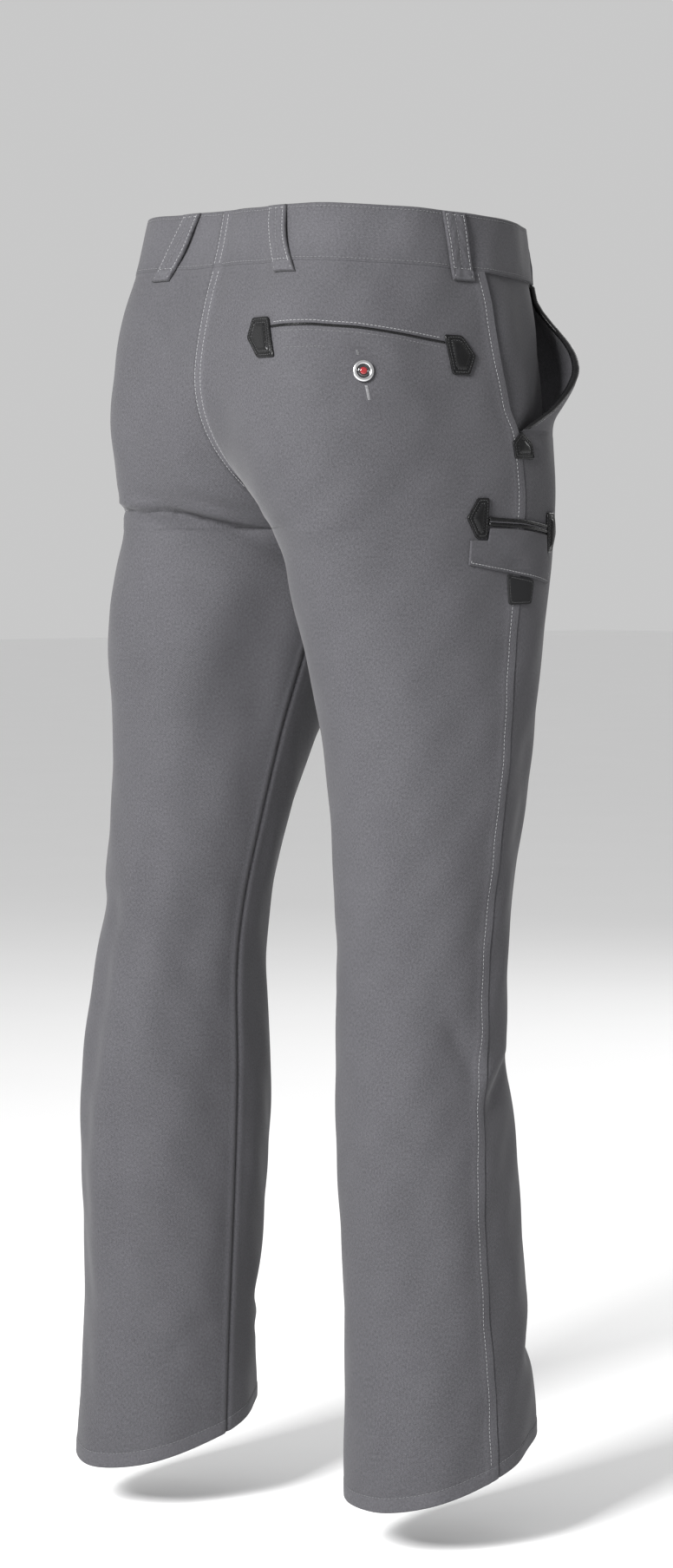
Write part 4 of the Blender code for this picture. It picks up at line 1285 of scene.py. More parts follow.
@dataclass
class FrontPockets:
    """Facing, leather binding and row of stitches at each front pocket."""

    under: float = 0.036
    cloth: float = 0.0015
    outside: float = 0.0066
    seam: float = 0.0048
    wrap: tuple[Wrap, ...] = (
        Wrap("outer rim", 0.0066, 0.0003, 0.9), Wrap("outer rim", 0.0064, 0.0009, 0.8),
        Wrap("outer face", 0.0056, 0.0014, 0.2), Wrap("groove", 0.0048, 0.0013, 0.0),
        Wrap("roll", 0.0040, 0.0018, 0.1), Wrap("roll", 0.0028, 0.0023, 0.2),
        Wrap("roll", 0.0012, 0.0022, 0.3), Wrap("nose", -0.0002, 0.0016, 0.5),
        Wrap("nose", -0.0013, 0.0005, 0.6), Wrap("nose", -0.0016, -0.0006, 0.6),
        Wrap("nose", -0.0013, -0.0017, 0.5), Wrap("nose", -0.0002, -0.0028, 0.4),
        Wrap("inner roll", 0.0012, -0.0033, 0.2), Wrap("inner roll", 0.0030, -0.0034, 0.1),
        Wrap("inner face", 0.0050, -0.0029, 0.0), Wrap("inner rim", 0.0072, -0.0024, 0.5),
        Wrap("inner rim", 0.0074, -0.0017, 0.5), Wrap("under", 0.0040, -0.0016, 0.0),
        Wrap("under", 0.0004, -0.0014, 0.0), Wrap("under", 0.0002, -0.0005, 0.0),
        Wrap("under", 0.0004, 0.0002, 0.0), Wrap("under", 0.0040, 0.0002, 0.0),
    )

    def facing(self, half: int, wardrobe: Wardrobe) -> bpy.types.Object:
        """The cloth behind the mouth, sewn into the side seam and the waistband."""
        z = np.linspace(FORM.waist_seam - FORM.gap / 2, -0.178, 48)
        q = np.linspace(0.0, 1.0, 30)[None, :]
        s = -(0.0006 + (FORM.mouth(z) + self.under - 0.0006)[:, None] * q)
        deep = 0.0045 * blend((-s - FORM.mouth(z)[:, None] + 0.018) / 0.030)
        high = -(self.cloth + 2 * FORM.gap) - deep
        name = "pocket_facing_right" if half < 0 else "pocket_facing_left"
        return Tailor.slab(name + "_cloth", half, s, z[:, None], high - 0.0011, high, wardrobe.facing,
                           "facing", [name], sheet=True)

    def binding(self, half: int, wardrobe: Wardrobe) -> bpy.types.Object:
        """The leather edge of the mouth, wrapped round it to the inner side."""
        z = np.linspace(FORM.waist_seam - 0.0008, -0.1650, 90)
        loop = np.array([row[1:] for row in self.wrap])
        along = np.linspace(0.0, 1.0, len(z))
        ends = np.sqrt(1.0 - (1.0 - np.clip(np.minimum(along, 1 - along) / 0.015, 0.0, 1.0)) ** 2)
        uneven = 0.00008 * np.sin(z * 700.0) * np.sin(z * 143.0)
        middle = loop[:, 1].mean()
        out = middle + (loop[:, 1] - middle)[None, :] * (0.35 + 0.65 * ends)[:, None] + uneven[:, None]
        s = -(FORM.mouth(z)[:, None] + loop[None, :, 0])
        zz = z[:, None] + 0.0 * s
        points = FORM.place(half, s, zz, out, opened=True)
        count, rows = len(loop), len(z)
        turn = np.arange(count)
        ahead = np.roll(turn, -1)
        faces = []
        for i in range(rows - 1):
            p, q = i * count, (i + 1) * count
            faces += np.stack([p + turn, p + ahead, q + ahead, q + turn], -1).tolist()
        faces += [turn[::-1].tolist(), (turn + (rows - 1) * count).tolist()]
        # Paleness per section line: rubbed rim and nose, groove left darker as painted shade.
        rub_and_shade = np.tile([row.wear_and_relief_shade for row in self.wrap], rows)
        weave = np.stack([s, zz, 0.0 * s], -1).reshape(-1, 3)
        name = "pocket_binding_right" if half < 0 else "pocket_binding_left"
        return Tailor.piece(name + "_leather", points, faces, wardrobe.leather, "leather", [name], weave,
                            rub_and_shade)

    def dress(self, wardrobe: Wardrobe, needle: Needle) -> None:
        """Build both pockets and sew them."""
        for half in (-1, 1):
            self.facing(half, wardrobe)
            self.binding(half, wardrobe)
            z = np.linspace(FORM.waist_seam - 0.002, -0.163, 90)
            needle.row(Tone.BLACK, half, -(FORM.mouth(z) + self.seam), z, 0.00145, opened=True,
                       zone="pockets")
            needle.row(Tone.LIGHT, half, -(FORM.mouth(z) + self.outside + 0.0022), z, 0.00012, opened=True,
                       zone="pockets")


class Patch(NamedTuple):
    """A five-cornered leather patch; its point is turned back (1), forward (-1) or up (0)."""

    name: str
    half: int
    s: float
    z: float
    point: int
    width: float
    height: float


class Ring(NamedTuple):
    """One contour of a patch: how far in from its edge, its height, and its paleness: the rim rubbed paler, the
    pads paler as painted highlight and the stitch grooves darker as painted shade.
    """

    inset: float
    height: float
    wear_and_relief_shade: float


@dataclass
class Patches:
    """The stitched and padded leather patches at the pocket corners."""

    patches: tuple[Patch, ...] = (
        Patch("back_pocket_patch_inner", -1, 0.2120, -0.0965, 1, 0.030, 0.032),
        Patch("back_pocket_patch_outer", -1, 0.0390, -0.1070, -1, 0.026, 0.032),
        Patch("ruler_pocket_patch_back", -1, 0.0450, -0.2370, 1, 0.021, 0.032),
        Patch("ruler_pocket_patch_front", -1, -0.0475, -0.2480, -1, 0.021, 0.032),
        Patch("front_pocket_patch_right", -1, -0.0070, -0.1785, 0, 0.025, 0.022),
        Patch("front_pocket_patch_left", 1, -0.0070, -0.1785, 0, 0.025, 0.022),
    )
    # Last column: rim rubbed paler, pads painted paler as highlight, stitch grooves left darker as painted shade.
    rings: tuple[Ring, ...] = (
        Ring(0.0, 0.0, 0.6), Ring(-0.0001, 0.0005, 0.9), Ring(0.0, 0.0010, 1.0), Ring(0.0003, 0.0014, 0.8),
        Ring(0.0008, 0.0016, 0.3), Ring(0.0013, 0.0015, 0.1), Ring(0.0017, 0.00125, 0.0),
        Ring(0.0021, 0.00125, 0.0), Ring(0.0025, 0.0015, 0.1), Ring(0.0030, 0.0017, 0.2),
        Ring(0.0036, 0.0017, 0.2), Ring(0.0041, 0.0014, 0.0), Ring(0.0045, 0.0012, 0.0),
        Ring(0.0049, 0.0015, 0.1), Ring(0.0055, 0.0021, 0.4), Ring(0.0063, 0.0025, 0.4),
    )
    steps: int = 14
    thick: float = 0.0016
    crown: float = 0.0014
    stitch_in: float = 0.0019

    def corners(self, patch: Patch) -> np.ndarray:
        """Corners about the patch's centre, as (ds, dz), in turning order."""
        w, h, k = patch.width / 2, patch.height / 2, patch.point
        if k == 0:
            ring = [(-w, -h), (w, -h), (w, h - 0.009), (0.0, h), (-w, h - 0.009)]
        else:
            ring = [(-k * w, -h), (-k * w, h), (k * (w - 0.010), h), (k * w, 0.0), (k * (w - 0.010), -h)]
        ring = np.array(ring)
        x, y = ring.T
        turning = np.sum(x * np.roll(y, -1) - np.roll(x, -1) * y)
        return ring if turning > 0 else ring[::-1]

    def contour(self, corners: np.ndarray, inset: float, passes: int = 2) -> np.ndarray:
        """The outline moved in by inset, with slightly rounded corners.

        Args:
            corners: the corners in turning order.
            inset: how far in.
            passes: how often the corners are smoothed.

        Returns:
            Points along the contour, the same number for every inset.
        """
        ahead = np.roll(corners, -1, axis=0)
        way = ahead - corners
        way = way / np.linalg.norm(way, axis=1)[:, None]
        into = np.stack([-way[:, 1], way[:, 0]], -1)
        moved = []
        for k in range(len(corners)):
            p, n, q, m = corners[k - 1], into[k - 1], corners[k], into[k]
            lines = np.array([n, m])
            moved.append(np.linalg.solve(lines, [n @ p + inset, m @ q + inset]))
        moved = np.array(moved)
        t = (np.arange(self.steps) / self.steps)[:, None]
        dense = np.concatenate([a * (1 - t) + b * t for a, b in zip(moved, np.roll(moved, -1, axis=0))])
        for _ in range(passes):
            dense = (np.roll(dense, 1, axis=0) + 2 * dense + np.roll(dense, -1, axis=0)) / 4
        return dense

    def pad(self, name: str, half: int, s0: float, z0: float, corners: np.ndarray, rings: Sequence[Ring],
            crown: float, finish: bpy.types.Material, slot: str, node: str) -> bpy.types.Object:
        """Build a padded piece from contours at rising heights.

        Args:
            name: the piece's name.
            half: right or left.
            s0: distance of its centre from the side seam.
            z0: height of its centre.
            corners: its corners about the centre.
            rings: contours from the edge inwards.
            crown: height of its middle over the cloth's lift.
            finish: its material.
            slot: the record's material slot.
            node: the CAD node that it stands for.

        Returns:
            The object.
        """
        flat, rise, rub_and_shade = [], [], []
        last = self.contour(corners, rings[-1].inset)
        for scale in (0.05, 0.5):
            flat.append(last * scale)
            rise.append(0.0)
            rub_and_shade.append(0.0)
        for ring in rings:
            flat.append(self.contour(corners, ring.inset))
            rise.append(ring.height)
            rub_and_shade.append(ring.wear_and_relief_shade)
        for scale in (0.82, 0.62, 0.42, 0.22, 0.06):
            flat.append(last * scale)
            rise.append(crown - (crown - rings[-1].height) * scale**2.6)
            rub_and_shade.append(0.3)
        count = len(last)
        places = np.concatenate([np.zeros((1, 2)), *flat, np.zeros((1, 2))])
        height = np.concatenate([[0.0], np.repeat(rise, count), [crown]])
        # Paleness per point: rubbed rim, painted highlight on the pads, painted shade in the stitch grooves.
        wear_and_relief_shade = np.concatenate([[0.0], np.repeat(rub_and_shade, count), [0.3]])
        points = FORM.place(half, s0 + places[:, 0], z0 + places[:, 1], FORM.lift + height)
        turn = np.arange(count)
        ahead = np.roll(turn, -1)
        faces = [(0, 1 + int(k), 1 + int(j)) for j, k in zip(turn, ahead)]
        for i in range(len(flat) - 1):
            a, b = 1 + i * count, 1 + (i + 1) * count
            faces += np.stack([a + turn, a + ahead, b + ahead, b + turn], -1).tolist()
        top = 1 + (len(flat) - 1) * count
        faces += [(top + int(j), top + int(k), len(points) - 1) for j, k in zip(turn, ahead)]
        weave = np.column_stack([s0 + places[:, 0], z0 + places[:, 1], np.zeros(len(places))])
        return Tailor.piece(name, points, faces, finish, slot, [node], weave, wear_and_relief_shade, crisp=75.0)

    def dress(self, wardrobe: Wardrobe, needle: Needle) -> None:
        """Build and sew the patches."""
        for patch in self.patches:
            corners = self.corners(patch)
            self.pad(patch.name + "_leather", patch.half, patch.s, patch.z, corners, self.rings,
                     self.thick + self.crown, wardrobe.leather, "leather", patch.name)
            for inset, height in ((self.stitch_in, 0.00125), (0.0045, 0.0012)):
                line = self.contour(corners, inset)
                line = np.concatenate([line, line[:1]])
                needle.row(Tone.BLACK, patch.half, patch.s + line[:, 0], patch.z + line[:, 1],
                           FORM.lift + height + 0.00016, zone="patches", pitch=0.0023, thick=0.9)


@dataclass
class BackPocket:
    """The welted mouth of the rear pocket, its seams and the button on it."""

    line: tuple[Spot, ...] = (Spot(0.1962, -0.0885), Spot(0.159, -0.0868), Spot(0.125, -0.0885),
                              Spot(0.092, -0.0925), Spot(0.0528, -0.0972))
    width: float = 0.0019
    rise: float = 0.0008
    row_up: float = 0.0034
    button: Spot = Spot(0.129, -0.123)
    radius: float = 0.0086

    def along(self, count: int, drop: float = 0.0, start: float = 0.0, stop: float = 1.0) -> tuple:
        """Places along the mouth.

        Args:
            count: how many.
            drop: how far below the mouth.
            start: where they start, as a part of its length from the seat.
            stop: where they end.

        Returns:
            Distances from the side seam and heights.
        """
        q = np.linspace(start, stop, count)
        s = self.line[0].s + (self.line[-1].s - self.line[0].s) * q
        known = sorted(self.line, key=lambda p: p.s)
        z = np.interp(s, [p.s for p in known], [p.z for p in known])
        for _ in range(3):
            z[1:-1] = (z[:-2] + 2 * z[1:-1] + z[2:]) / 4
        return s, z - drop

    def edge(self, wardrobe: Wardrobe) -> bpy.types.Object:
        """The thin leather edge of the mouth."""
        s, z = self.along(110)
        across = spread(self.width, 6, 0.0006)
        zz = z[:, None] + self.width / 2 - across[None, :]
        ss = s[:, None] + 0.0 * zz
        shape = rounding(s[0] - s, across, 0.0014)
        high = FORM.lift + self.rise * np.maximum(shape, 0.12)
        return Tailor.slab("back_pocket_edge_leather", -1, ss, zz, FORM.lift - 0.0001, high,
                           wardrobe.leather, "leather", ["back_pocket_edge"], wear_and_relief_shade=(1 - shape) * 0.7)

    def turned(self, name: str, profile: Sequence[tuple[float, float]], finish: bpy.types.Material,
               slot: str, nodes: Sequence[str], steps: int = 72) -> bpy.types.Object:
        """Turn a profile about the button's axis.

        Args:
            name: the piece's name.
            profile: radius and height, from the crown down the outside.
            finish: its material.
            slot: the record's material slot.
            nodes: the CAD nodes that it stands for.
            steps: how many steps round.

        Returns:
            The object.
        """
        centre, axis = self.axis(self.button.s, self.button.z, FORM.lift, -1)
        return turned(name, centre, axis, profile, finish, slot, nodes, steps)

    @staticmethod
    def axis(s: float, z: float, off: float, half: int) -> tuple[np.ndarray, np.ndarray]:
        """Foot and direction of a button on the cloth."""
        foot = FORM.place(half, s, z, off)[0]
        return foot, FORM.place(half, s, z, off + 0.01)[0] - foot

    def dress(self, wardrobe: Wardrobe, needle: Needle) -> None:
        """Build the mouth and the button and sew them."""
        self.edge(wardrobe)
        r = self.radius
        self.turned("pocket_button_ring", (
            (0.0, 0.0019), (r * 0.55, 0.0019), (r * 0.60, 0.0021), (r * 0.63, 0.0027), (r * 0.67, 0.0030),
            (r * 0.73, 0.0032), (r * 0.80, 0.0033), (r * 0.88, 0.0031), (r * 0.94, 0.0028),
            (r * 0.985, 0.0023), (r, 0.0018), (r * 0.985, 0.0013), (r * 0.93, 0.0010), (r * 0.72, 0.0006),
            (r * 0.5, 0.0), (0.0, 0.0)), wardrobe.nickel, "button_metal", ["back_pocket_button_ring"])
        self.turned("pocket_button_core", (
            (0.0, 0.0027), (r * 0.33, 0.0027), (r * 0.36, 0.0032), (r * 0.39, 0.00335), (r * 0.44, 0.0033),
            (r * 0.50, 0.0030), (r * 0.555, 0.0026), (r * 0.57, 0.0022), (r * 0.52, 0.0020), (0.0, 0.0020)),
            wardrobe.enamel, "button_core", ["back_pocket_button_core"])
        self.turned("pocket_button_eye", (
            (0.0, 0.0037), (r * 0.12, 0.00367), (r * 0.22, 0.00355), (r * 0.305, 0.0033), (r * 0.335, 0.0030),
            (r * 0.30, 0.0028), (0.0, 0.0028)), wardrobe.garnet, "button_core", [])
        s, z = self.along(120, -self.row_up, 0.02, 0.98)
        needle.row(Tone.LIGHT, -1, s, z, 0.00014, zone="back_pocket")
        for drop, stop in ((0.0042, 0.98), (0.0172, 0.30)):
            s, z = self.along(120, drop, 0.05, stop)
            needle.row(Tone.CLOTH, -1, s, z, 0.00006, zone="back_pocket", thick=0.8)
        for k in range(14):
            z0 = self.button.z - 0.0115 - 0.0008 * k
            s = self.button.s + np.array([-0.0018, 0.0018])
            needle.row(Tone.LIGHT, -1, s, [z0, z0], 0.00022, zone="back_pocket", pitch=0.0034)
        for k in range(7):
            z0 = self.button.z + 0.0130 + 0.0006 * k
            s = self.button.s + np.array([-0.0016, 0.0016])
            needle.row(Tone.CLOTH, -1, s, [z0, z0], 0.00022, zone="back_pocket", pitch=0.0030)


def turned(name: str, foot: np.ndarray, axis: np.ndarray, profile: Sequence[tuple[float, float]],
           finish: bpy.types.Material, slot: str, nodes: Sequence[str], steps: int = 72) -> bpy.types.Object:
    """Turn a profile about an axis into a closed piece.

    Args:
        name: the piece's name.
        foot: where the axis meets the cloth.
        axis: its direction.
        profile: radius and height, from the crown down the outside.
        finish: its material.
        slot: the record's material slot.
        nodes: the CAD nodes that it stands for.
        steps: how many steps round.

    Returns:
        The object.
    """
    axis = axis / np.linalg.norm(axis)
    side = np.cross(axis, [0.0, 0.0, 1.0])
    side /= np.linalg.norm(side)
    other = np.cross(axis, side)
    angle = 2 * math.pi * np.arange(steps) / steps
    ring = np.cos(angle)[:, None] * side + np.sin(angle)[:, None] * other
    points = [foot[None, :] + axis * profile[0][1]]
    points += [foot + axis * h + ring * r for r, h in profile[1:-1]]
    points.append(foot[None, :] + axis * profile[-1][1])
    points = np.concatenate(points)
    turn = np.arange(steps)
    ahead = np.roll(turn, -1)
    faces = [(0, 1 + int(j), 1 + int(k)) for j, k in zip(turn, ahead)]
    for i in range(len(profile) - 3):
        a, b = 1 + i * steps, 1 + (i + 1) * steps
        faces += np.stack([a + turn, b + turn, b + ahead, a + ahead], -1).tolist()
    last = 1 + (len(profile) - 3) * steps
    faces += [(last + int(k), last + int(j), len(points) - 1) for j, k in zip(turn, ahead)]
    return Tailor.piece(name, points, faces, finish, slot, nodes, crisp=48.0)


class StripRow(NamedTuple):
    """Upper and lower edge of the ruler pocket's strip at a distance from the side seam."""

    s: float
    top: float
    bottom: float


@dataclass
class RulerPocket:
    """The ruler pocket on the right side: leather piping, strip and blank tab."""

    pipe: tuple[Spot, ...] = (Spot(0.0336, -0.2395), Spot(0.000, -0.2410), Spot(-0.0362, -0.2450))
    pipe_width: float = 0.0070
    strip: tuple[StripRow, ...] = (
        StripRow(0.0510, -0.2545, -0.2740), StripRow(0.0338, -0.2545, -0.2765),
        StripRow(0.0325, -0.2447, -0.2770), StripRow(0.0110, -0.2452, -0.2800),
        StripRow(-0.0150, -0.2472, -0.2842), StripRow(-0.0350, -0.2494, -0.2875),
        StripRow(-0.0368, -0.2658, -0.2878), StripRow(-0.0450, -0.2665, -0.2890),
    )
    tab: tuple[Spot, ...] = (Spot(0.0110, -0.2812), Spot(-0.0180, -0.2858), Spot(-0.0170, -0.3050),
                             Spot(0.0070, -0.3055))
    tab_rings: tuple[Ring, ...] = (
        Ring(0.0, 0.0, 0.5), Ring(0.0, 0.0006, 0.8), Ring(0.0002, 0.0011, 0.6), Ring(0.0006, 0.0013, 0.2),
        Ring(0.0012, 0.0013, 0.0), Ring(0.0017, 0.0011, 0.0), Ring(0.0022, 0.0013, 0.0),
        Ring(0.0032, 0.0014, 0.0),
    )

    def piping(self, wardrobe: Wardrobe) -> bpy.types.Object:
        """Two leather cords with a line of cloth between them."""
        q = np.linspace(0.0, 1.0, 80)
        s = self.pipe[0].s + (self.pipe[-1].s - self.pipe[0].s) * q
        known = self.pipe[::-1]
        z = np.interp(s, [p.s for p in known], [p.z for p in known])
        across = np.concatenate([spread(0.0029, 6, 0.0008), 0.0041 + spread(0.0029, 6, 0.0008)])
        zz = z[:, None] + self.pipe_width / 2 - across[None, :]
        near = np.minimum(across, self.pipe_width - across)
        crest = np.sqrt(np.clip(1.0 - ((near - 0.00145) / 0.00146) ** 2, 0.0, 1.0))
        ends = np.sqrt(1.0 - (1.0 - np.clip(np.minimum(q, 1 - q) / 0.02, 0.0, 1.0)) ** 2)
        shape = crest[None, :] * ends[:, None]
        high = FORM.lift + 0.0002 + 0.0017 * shape
        return Tailor.slab("ruler_pocket_piping", -1, s[:, None] + 0.0 * zz, zz, FORM.lift - 0.0001, high,
                           wardrobe.leather, "leather", ["ruler_pocket_edge"], wear_and_relief_shade=(1 - shape) * 0.4)

    def welt(self, wardrobe: Wardrobe) -> bpy.types.Object:
        """The line of cloth between the two cords."""
        q = np.linspace(0.0, 1.0, 70)
        s = self.pipe[0].s - 0.0004 + (self.pipe[-1].s - self.pipe[0].s + 0.0008) * q
        known = self.pipe[::-1]
        z = np.interp(s, [p.s for p in known], [p.z for p in known])
        across = spread(0.0013, 4, 0.0003)
        zz = z[:, None] + 0.00065 - across[None, :]
        high = FORM.lift + 0.0002 + 0.0012 * np.maximum(rounding(s[0] - s, across, 0.0006), 0.1)
        return Tailor.slab("ruler_pocket_welt", -1, s[:, None] + 0.0 * zz, zz, FORM.lift + 0.0001, high,
                           wardrobe.cotton, "cloth")

    def band(self, wardrobe: Wardrobe) -> bpy.types.Object:
        """The outer strip below the piping."""
        s = np.unique(np.concatenate([np.linspace(-0.0450, 0.0510, 110), [-0.0368, -0.0350, 0.0325, 0.0338],
                                      [-0.0447, -0.0442, 0.0507, 0.0502]]))[::-1]
        known = self.strip[::-1]
        top = np.interp(s, [r.s for r in known], [r.top for r in known])
        bottom = np.interp(s, [r.s for r in known], [r.bottom for r in known])
        q = np.array([0.0, 0.006, 0.02, 0.045, 0.08, 0.14, 0.24, 0.36, 0.48, 0.60, 0.72, 0.82, 0.89, 0.93,
                      0.955, 0.98, 0.994, 1.0])[None, :]
        zz = top[:, None] + (bottom - top)[:, None] * q
        near = np.minimum(top[:, None] - zz, zz - bottom[:, None])
        near = np.minimum(near, np.minimum(s[0] - s, s - s[-1])[:, None])
        shape = np.sqrt(1.0 - (1.0 - np.clip(near / 0.0010, 0.0, 1.0)) ** 2)
        dips = 0.00030 * bell(zz - bottom[:, None] - 0.0021, 0.0007)
        puff = 0.00035 * bell(q - 0.45, 0.35)
        wave = 0.00016 * np.sin(s * 190.0)[:, None] * np.sin(zz * 260.0)
        high = FORM.lift + (0.0013 + puff + wave - dips) * np.maximum(shape, 0.06)
        # Colour from the relief: puff painted paler as rubbing, stitch dip and edges painted darker as painted
        # shade.
        wear_and_relief_shade = np.clip((high - FORM.lift - 0.0013) / 0.0006, -1.0, 0.6)
        return Tailor.slab("ruler_pocket_strip_cloth", -1, s[:, None] + 0.0 * q, zz, FORM.lift, high,
                           wardrobe.facing, "facing", ["ruler_pocket_strip"], wear_and_relief_shade=wear_and_relief_shade, sheet=True)

    def dress(self, wardrobe: Wardrobe, patches: Patches, needle: Needle) -> None:
        """Build and sew the ruler pocket."""
        self.piping(wardrobe)
        self.welt(wardrobe)
        self.band(wardrobe)
        ring = np.array([(p.s, p.z) for p in self.tab])
        centre = ring.mean(axis=0)
        corners = ring - centre
        x, y = corners.T
        if np.sum(x * np.roll(y, -1) - np.roll(x, -1) * y) < 0:
            corners = corners[::-1]
        patches.pad("ruler_pocket_tab_tape", -1, centre[0], centre[1], corners, self.tab_rings, 0.0015,
                    wardrobe.tape, "tab", "ruler_pocket_tab")
        line = patches.contour(corners, 0.0017)
        line = np.concatenate([line, line[:1]])
        needle.row(Tone.BLACK, -1, centre[0] + line[:, 0], centre[1] + line[:, 1], FORM.lift + 0.00125,
                   zone="ruler_pocket", pitch=0.0026, thick=0.85)
        known = self.strip[::-1]
        s = np.linspace(0.0495, -0.0435, 120)
        bottom = np.interp(s, [r.s for r in known], [r.bottom for r in known])
        needle.row(Tone.LIGHT, -1, s, bottom + 0.0021, FORM.lift + 0.00128, zone="ruler_pocket")
        z = np.linspace(-0.2560, -0.2735, 20)
        needle.row(Tone.LIGHT, -1, np.full(20, 0.0490), z, FORM.lift + 0.00128, zone="ruler_pocket")
        z = np.linspace(-0.2680, -0.2870, 20)
        needle.row(Tone.LIGHT, -1, np.full(20, -0.0430), z, FORM.lift + 0.00128, zone="ruler_pocket")


@dataclass
class Fly:
    """The closure at the front: the flap on the left and the button of the waistband's tab."""

    top: float = -0.0368
    bottom: float = -0.172
    width: float = 0.036
    over: float = 0.006
    button_x: float = -0.014
    radius: float = 0.0086

    def reach(self, z: np.ndarray) -> np.ndarray:
        """Width of the flap at the heights z."""
        bend = self.top - 0.085
        t = np.clip((bend - z) / (bend - self.bottom), 0.0, 1.0)
        return self.over + 0.004 + (self.width - 0.004) * np.sqrt(np.maximum(1.0 - t**2, 0.0))

    def dress(self, wardrobe: Wardrobe, band: Waistband, needle: Needle) -> None:
        """Build the flap and the button and sew them."""
        tall = self.top - self.bottom
        down = np.concatenate([spread(0.085, 40, 0.0012)[:-5],
                               0.085 + (tall - 0.085) * np.sin(np.linspace(0.0, math.pi / 2, 36))])
        z = self.top - down
        width = self.reach(z)
        q = np.concatenate([[0.0, 0.01, 0.03, 0.06], np.linspace(0.10, 0.94, 16), [0.97, 0.99, 1.0]])
        whole = FORM.span(1, -1, z)[:, None]
        s = -(whole + self.over - width[:, None] * (1.0 - q[None, :]))
        near = np.minimum(q, 1 - q)[None, :] * width[:, None]
        near = np.minimum(near, np.minimum(down, tall - down)[:, None] + 0.00001)
        shape = np.sqrt(1.0 - (1.0 - np.clip(near / 0.0010, 0.0, 1.0)) ** 2)
        high = FORM.lift + (0.0015 + 0.0001 * np.sin(down * 260.0)[:, None]) * np.maximum(shape, 0.06)
        Tailor.slab("fly_flap_cloth", 1, s, z[:, None] + 0.0 * s, FORM.lift, high, wardrobe.cotton, "cloth",
                    ["fly_flap"], sheet=True)
        for inset in (0.0028, 0.0068):
            z = np.concatenate([np.linspace(self.top - 0.001, self.top - 0.084, 40),
                                self.top - 0.085 - (tall - 0.085 - inset) * np.sin(
                                    np.linspace(0.0, math.pi / 2, 40))])
            z = np.maximum(z, self.bottom + inset)
            whole = FORM.span(1, -1, z)
            width = np.maximum(self.reach(z) - inset, self.over + 0.004)
            needle.row(Tone.LIGHT, 1, -(whole + self.over - width), z, FORM.lift + 0.00155, zone="fly")
        front = float(FORM.span(1, -1, np.array([-0.013]))[0])
        foot, axis = BackPocket.axis(-(front - self.button_x), -0.013, band.outer + band.tab_lift + FORM.gap, 1)
        r = self.radius
        turned("waist_button_metal", foot, axis, (
            (0.0, 0.0037), (r * 0.30, 0.00368), (r * 0.50, 0.0036), (r * 0.62, 0.0033), (r * 0.68, 0.0031),
            (r * 0.74, 0.0033), (r * 0.86, 0.0032), (r * 0.95, 0.0027), (r, 0.0020), (r * 0.97, 0.0012),
            (r * 0.70, 0.0003), (r * 0.66, 0.0), (0.0, 0.0)), wardrobe.nickel, "button_metal", ["waist_button"])


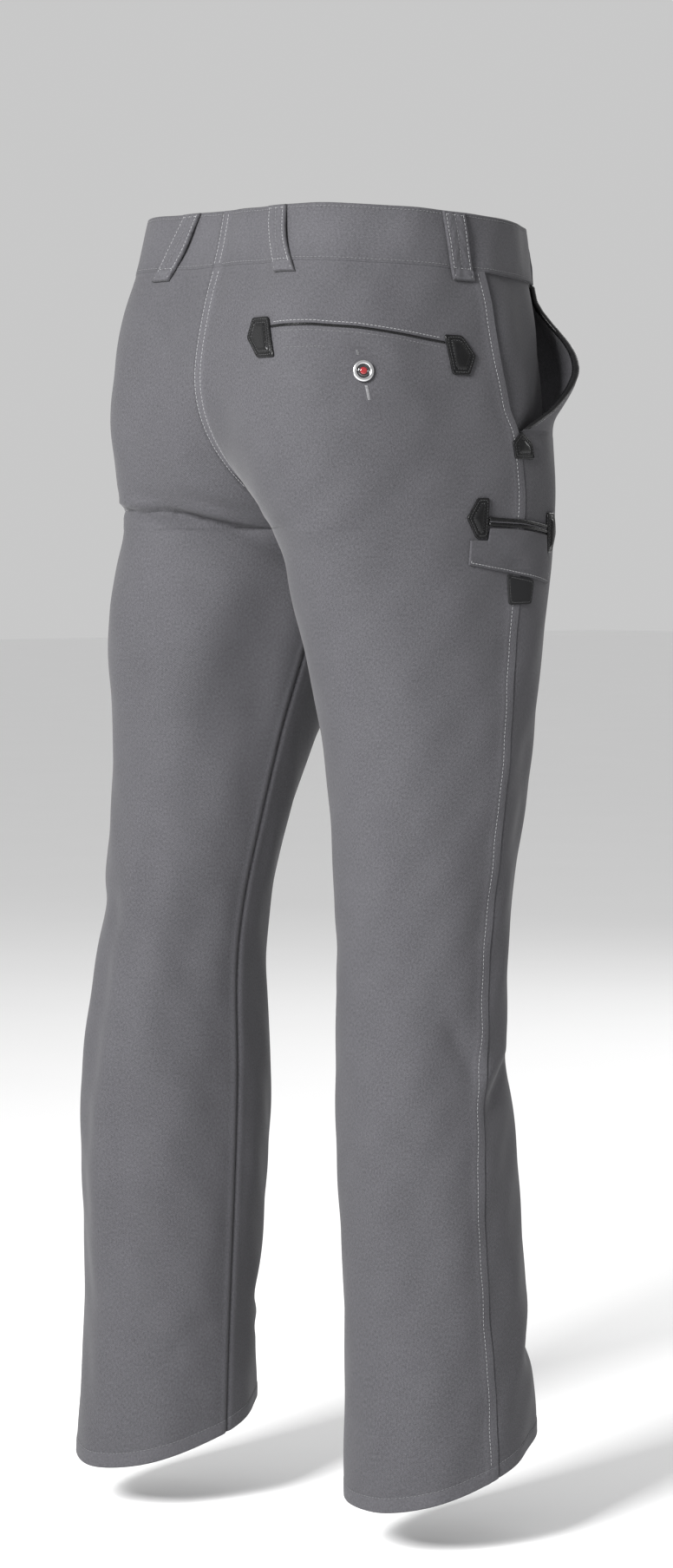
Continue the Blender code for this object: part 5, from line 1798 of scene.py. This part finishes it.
@dataclass
class Studio:
    """Floor, soft lights and the camera at the photograph's angle."""

    floor: float = -1.066
    azimuth: float = 229.0
    distance: float = 3.3
    camera_z: float = -0.27
    aim: tuple[float, float, float] = (0.0, 0.0, -0.455)
    focal_px: float = 4602.0
    frame_px: float = 1807.0
    sensor: float = 36.0
    world: float = 0.58

    def lamp(self, name: str, azimuth: float, elevation: float, distance: float, size: float,
             power: float) -> None:
        """Hang one soft square light that looks at the trousers.

        Args:
            name: the light's name.
            azimuth: where it hangs, as for the camera.
            elevation: how high, in degrees.
            distance: how far from the trousers.
            size: its side in metres.
            power: its power in watts.
        """
        data = bpy.data.lights.new(name, "AREA")
        data.size = size
        data.energy = power
        lamp = bpy.data.objects.new(name, data)
        a, e = math.radians(azimuth), math.radians(elevation)
        aim = Vector((0.0, 0.0, -0.5))
        lamp.location = aim + distance * Vector((math.sin(a) * math.cos(e), -math.cos(a) * math.cos(e),
                                                 math.sin(e)))
        lamp.rotation_euler = (aim - lamp.location).to_track_quat("-Z", "Y").to_euler()
        bpy.context.scene.collection.objects.link(lamp)

    def build(self) -> None:
        """Set the stage."""
        reach = 30.0
        mesh = bpy.data.meshes.new("floor")
        mesh.from_pydata([(-reach, -reach, self.floor), (reach, -reach, self.floor),
                          (reach, reach, self.floor), (-reach, reach, self.floor)], [], [(0, 1, 2, 3)])
        mesh.materials.append(StageFinish().make())
        floor = bpy.data.objects.new("floor", mesh)
        bpy.context.scene.collection.objects.link(floor)
        world = bpy.data.worlds.new("studio")
        world.use_nodes = True
        world.node_tree.nodes["Background"].inputs["Color"].default_value = (1.0, 1.0, 1.0, 1.0)
        world.node_tree.nodes["Background"].inputs["Strength"].default_value = self.world
        bpy.context.scene.world = world
        self.lamp("key", 196.0, 26.0, 3.3, 0.9, 225.0)
        self.lamp("rim", 128.0, 20.0, 3.6, 1.6, 8.0)
        self.lamp("front", 20.0, 30.0, 4.2, 2.6, 44.0)
        data = bpy.data.cameras.new("view")
        data.sensor_fit = "AUTO"
        data.sensor_width = self.sensor
        data.lens = self.sensor * self.focal_px / self.frame_px
        camera = bpy.data.objects.new("view", data)
        a = math.radians(self.azimuth)
        camera.location = (math.sin(a) * self.distance, -math.cos(a) * self.distance, self.camera_z)
        camera.rotation_euler = (Vector(self.aim) - camera.location).to_track_quat("-Z", "Y").to_euler()
        bpy.context.scene.collection.objects.link(camera)
        bpy.context.scene.camera = camera
        bpy.context.scene.view_settings.view_transform = "Standard"


def main() -> None:
    """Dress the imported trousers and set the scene."""
    logging.basicConfig(level=logging.INFO, format="%(message)s")
    Studio().build()
    wardrobe, needle = Wardrobe(), Needle()
    panels, band, patches = LegPanels(), Waistband(), Patches()
    panels.dress(wardrobe)
    log.info("panels done")
    for half in Half:
        band.build(int(half), wardrobe)
    BeltLoops().dress(wardrobe, needle)
    FrontPockets().dress(wardrobe, needle)
    log.info("waistband, loops and front pockets done")
    patches.dress(wardrobe, needle)
    BackPocket().dress(wardrobe, needle)
    RulerPocket().dress(wardrobe, patches, needle)
    Fly().dress(wardrobe, band, needle)
    SeamRows(panels, band).dress(needle)
    needle.build(wardrobe)


if __name__ == "__main__":
    main()
